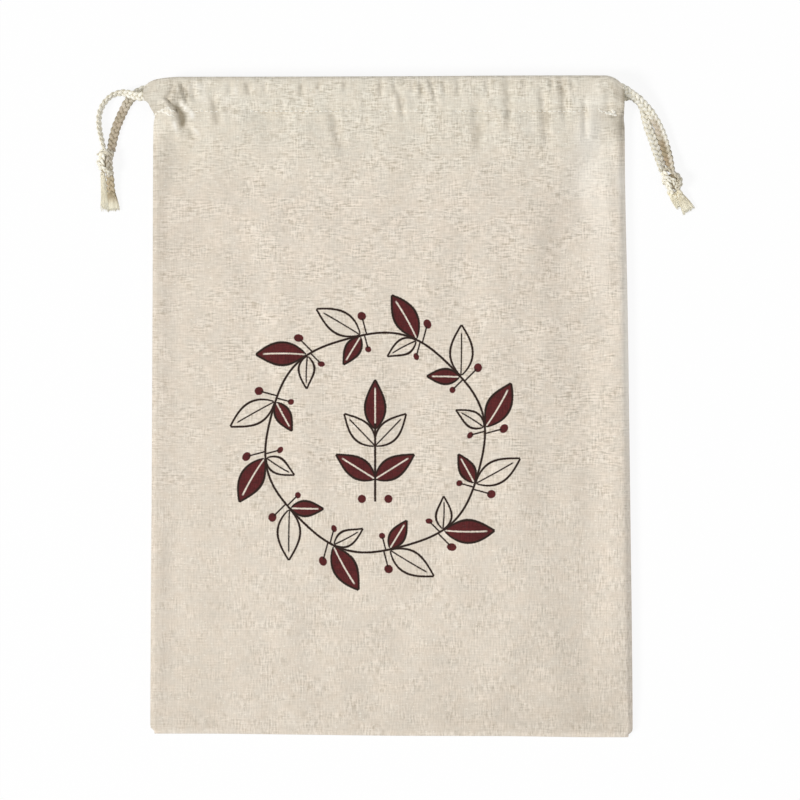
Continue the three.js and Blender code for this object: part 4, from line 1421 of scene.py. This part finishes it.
def make_cloth_material():
    """Unbleached cotton and linen in a plain weave, with a print in two browns."""
    material, tree, shader = new_material("cotton_linen", 0.93, sheen=0.08)
    u, v = (place / MM for place in uv_values(tree, CLOTH_UV))
    x, y = place_in_mm(tree)
    threads, across_slub, up_slub = weave(u, v)
    across_tone, up_tone = thread_tones(x, y, across_slub, up_slub)
    mottle = noise(u * 0.06, v * 0.09, detail=5.0, roughness=0.62, seed=14.0)
    busy = noise(u * 0.06, v * 0.08, seed=26.0).between(0.4, 0.62) * 0.9 + 0.5
    slubs = across_tone * 1.65 + up_tone * 1.1
    tone = slubs * busy + (mottle - 0.5) * 0.18 + (threads - 0.55) * 0.28
    # painted shade and light, carried on the sheet's points
    plain = shaded_and_lit_cloth(plain_cloth(u, v, y, tone), point_value(tree, "shade_and_tint"))

    spread = (noise(u * 1.1, v * 1.1, seed=40.0) - 0.5) * 0.5
    taken = (threads * 0.5 + across_slub * 0.7 + up_slub * 0.5).between(0.42, 0.72) * 0.14 + 0.86
    ink_tone = (across_slub * 0.6 + up_slub * 0.6 + mottle * 0.4).between(0.5, 1.1)
    print_x = x - PRINT_MIDDLE[0] + spread
    print_y = y - PRINT_MIDDLE[1] + spread
    printed = printed_over(plain, print_x, print_y, taken, ink_tone)
    height = threads * 0.6 + across_tone * 0.9 + up_tone * 0.7
    finish_shader(shader, printed, height, 0.55, 0.28 * MM)
    return material


sheet, sheet_length = make_cloth(make_cloth_material())
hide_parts("bag_cloth")


# ---------------------------------------------------------------- the stitches

STITCH_PITCH = 3.0
STITCH_GAP = 0.85
STITCH_LINE = (-141.0, 140.6)  # its two ends across the bag
SUNK = (-129.6, -122.8)  # the stitches that start between these sink into the deepest fold
THREAD_RADIUS = 0.34
THREAD_RISE = 0.26
LOCK_RISE = 0.4
UNDER_STITCH = 0.46  # height of the threads under the bag, most of which are sunk in its cloth

# Each row of lock stitches: where it starts and ends, in millimetres, and how many there are.
LOCK_STITCHES = [
    (-142.6, 176.2, -137.6, 178.6, 12), (-138, 178.8, -131, 175.8, 15),
    (-135, 181.4, -130.6, 178.4, 9),
    (126, 180, 128.6, 178.2, 5), (130, 177.4, 136.6, 176.2, 14), (134.2, 179.2, 136.6, 177.8, 4),
]


def make_thread_material():
    """Pale sewing thread, twisted from finer ones."""
    material, tree, shader = new_material("sewing_thread", 0.7, sheen=0.1)
    x, y = place_in_mm(tree)
    twist = ((x + y * 2.2) * 9.0).run("SINE") * 0.5 + 0.5
    colour = mixed_colour(twist, from_srgb(244, 239, 226), from_srgb(255, 253, 246))
    finish_shader(shader, colour, twist, 0.6, 0.1 * MM)
    return material


def add_stitch(shape, start, end, rise):
    """Adds one short thread that comes out of the cloth at its start and goes in at its end."""
    t = np.linspace(0, 1, 7)[:, None]
    line = mix(np.array(start), np.array(end), t)
    line[:, 2] += rise * np.sin(np.pi * t[:, 0]) ** 0.7 - 0.12
    line = line * MM
    tangent = tangents_of(line)
    across = unit(np.cross(UP, tangent))
    radius = THREAD_RADIUS * MM * np.sqrt(np.maximum(np.sin(np.pi * (0.08 + 0.84 * t[:, 0])), 0.1))
    radii = np.stack([radius, radius], axis=1)
    shape.add_tube(line, across, np.cross(tangent, across), radii, 1.0, sides=6)


def face_height(x, y):
    """Top of the front cloth at the stitch line, as the sheet is drawn."""
    x = np.array([float(x)])
    y = np.array([float(y)])
    if y[0] > STITCH:
        height = casing_height(x, y)
    else:
        height = front_body(x, y)
    return float((height - fold_depth(x, y) - drawn_in(x, y))[0]) + SHOWN_HALF


def make_stitches(material):
    """Makes the line of stitches below the casings, with its locked ends."""
    shape = Shape()
    draw = np.random.default_rng(21)
    left, right = STITCH_LINE
    for number in range(int((right - left) / STITCH_PITCH)):
        start = left + number * STITCH_PITCH + 0.35
        end = start + STITCH_PITCH - STITCH_GAP
        y = STITCH + draw.uniform(-0.12, 0.12)
        slant = draw.uniform(-0.1, 0.1)
        if not SUNK[0] < start < SUNK[1]:
            first = (start, y - slant, face_height(start, STITCH))
            last = (end, y + slant, face_height(end, STITCH))
            add_stitch(shape, first, last, THREAD_RISE)
        add_stitch(shape, (start, y, UNDER_STITCH), (end, y, UNDER_STITCH), -0.02)
    # the stitches that lock the two ends of the line, sewn to and fro
    for start_x, start_y, end_x, end_y, count in LOCK_STITCHES:
        for _ in range(count):
            share = draw.uniform(0, 1)
            x = mix(start_x, end_x, share)
            y = mix(start_y, end_y, share) + draw.uniform(-0.7, 0.7)
            slope = (end_y - start_y) / (end_x - start_x) + draw.uniform(-0.25, 0.25)
            reach = draw.uniform(1.4, 2.6)
            far = (x + reach, y + reach * slope)
            add_stitch(shape, (x, y, face_height(x, y)), (*far, face_height(*far)), LOCK_RISE)
    piece = shape.make("casing_stitches", material, "Thread")
    return piece


stitches = make_stitches(make_thread_material())
round(sheet_length * MM, 4)


# ---------------------------------------------------------------- floor, light and picture

FLOOR_SIZE = 12.0
WHITE_SHARE = 0.88  # how much of what the camera sees of the floor is plain white
ROOM_LIGHT = 0.34


def make_floor():
    """A plain white surface that keeps the bag's soft shadow."""
    mesh = bpy.data.meshes.new("floor")
    half = FLOOR_SIZE / 2
    low = -0.05 * MM  # just under the bag
    corners = [(x * half, y * half, low) for x, y in ((-1, -1), (1, -1), (1, 1), (-1, 1))]
    mesh.from_pydata(corners, [], [(0, 1, 2, 3)])
    floor = place_object("floor", mesh)
    material = bpy.data.materials.new("floor")
    material.use_nodes = True
    tree = material.node_tree
    tree.nodes.clear()
    matt = add_node(tree, "BsdfDiffuse", Color=(0.94, 0.94, 0.94, 1.0))
    white = add_node(tree, "Emission", Strength=1.0)
    both = add_node(tree, "MixShader", Fac=seen_by_camera(tree) * WHITE_SHARE)
    tree.links.new(matt.outputs[0], both.inputs[1])
    tree.links.new(white.outputs[0], both.inputs[2])
    add_node(tree, "OutputMaterial", Surface=both.outputs[0])
    mesh.materials.append(material)


def add_lamp(name, place, size, power):
    """Adds a round lamp that shines at the middle of the bag."""
    data = bpy.data.lights.new(name, "AREA")
    data.shape = "DISK"
    data.size = size
    data.energy = power
    lamp = place_object(name, data)
    lamp.location = place
    lamp.rotation_mode = "QUATERNION"
    lamp.rotation_quaternion = (-Vector(place)).to_track_quat("-Z", "Y")


def make_world():
    """An even pale room, seen as plain white."""
    world = bpy.data.worlds.new("room")
    bpy.context.scene.world = world
    world.use_nodes = True
    tree = world.node_tree
    background = next(node for node in tree.nodes if node.type == "BACKGROUND")
    background.inputs["Color"].default_value = (1.0, 1.0, 1.0, 1.0)
    strength = seen_by_camera(tree) * (1 - ROOM_LIGHT) + ROOM_LIGHT
    connect(tree, strength, background.inputs["Strength"])


make_floor()
make_world()
add_lamp("key", (-6.1, -1.6, 5.2), 2.4, 452.0)
add_lamp("overhead", (0.5, 0.3, 2.6), 1.2, 14.0)
add_lamp("fill", (2.8, -0.5, 1.9), 1.2, 12.0)

bpy.context.scene.view_settings.view_transform = "Standard"
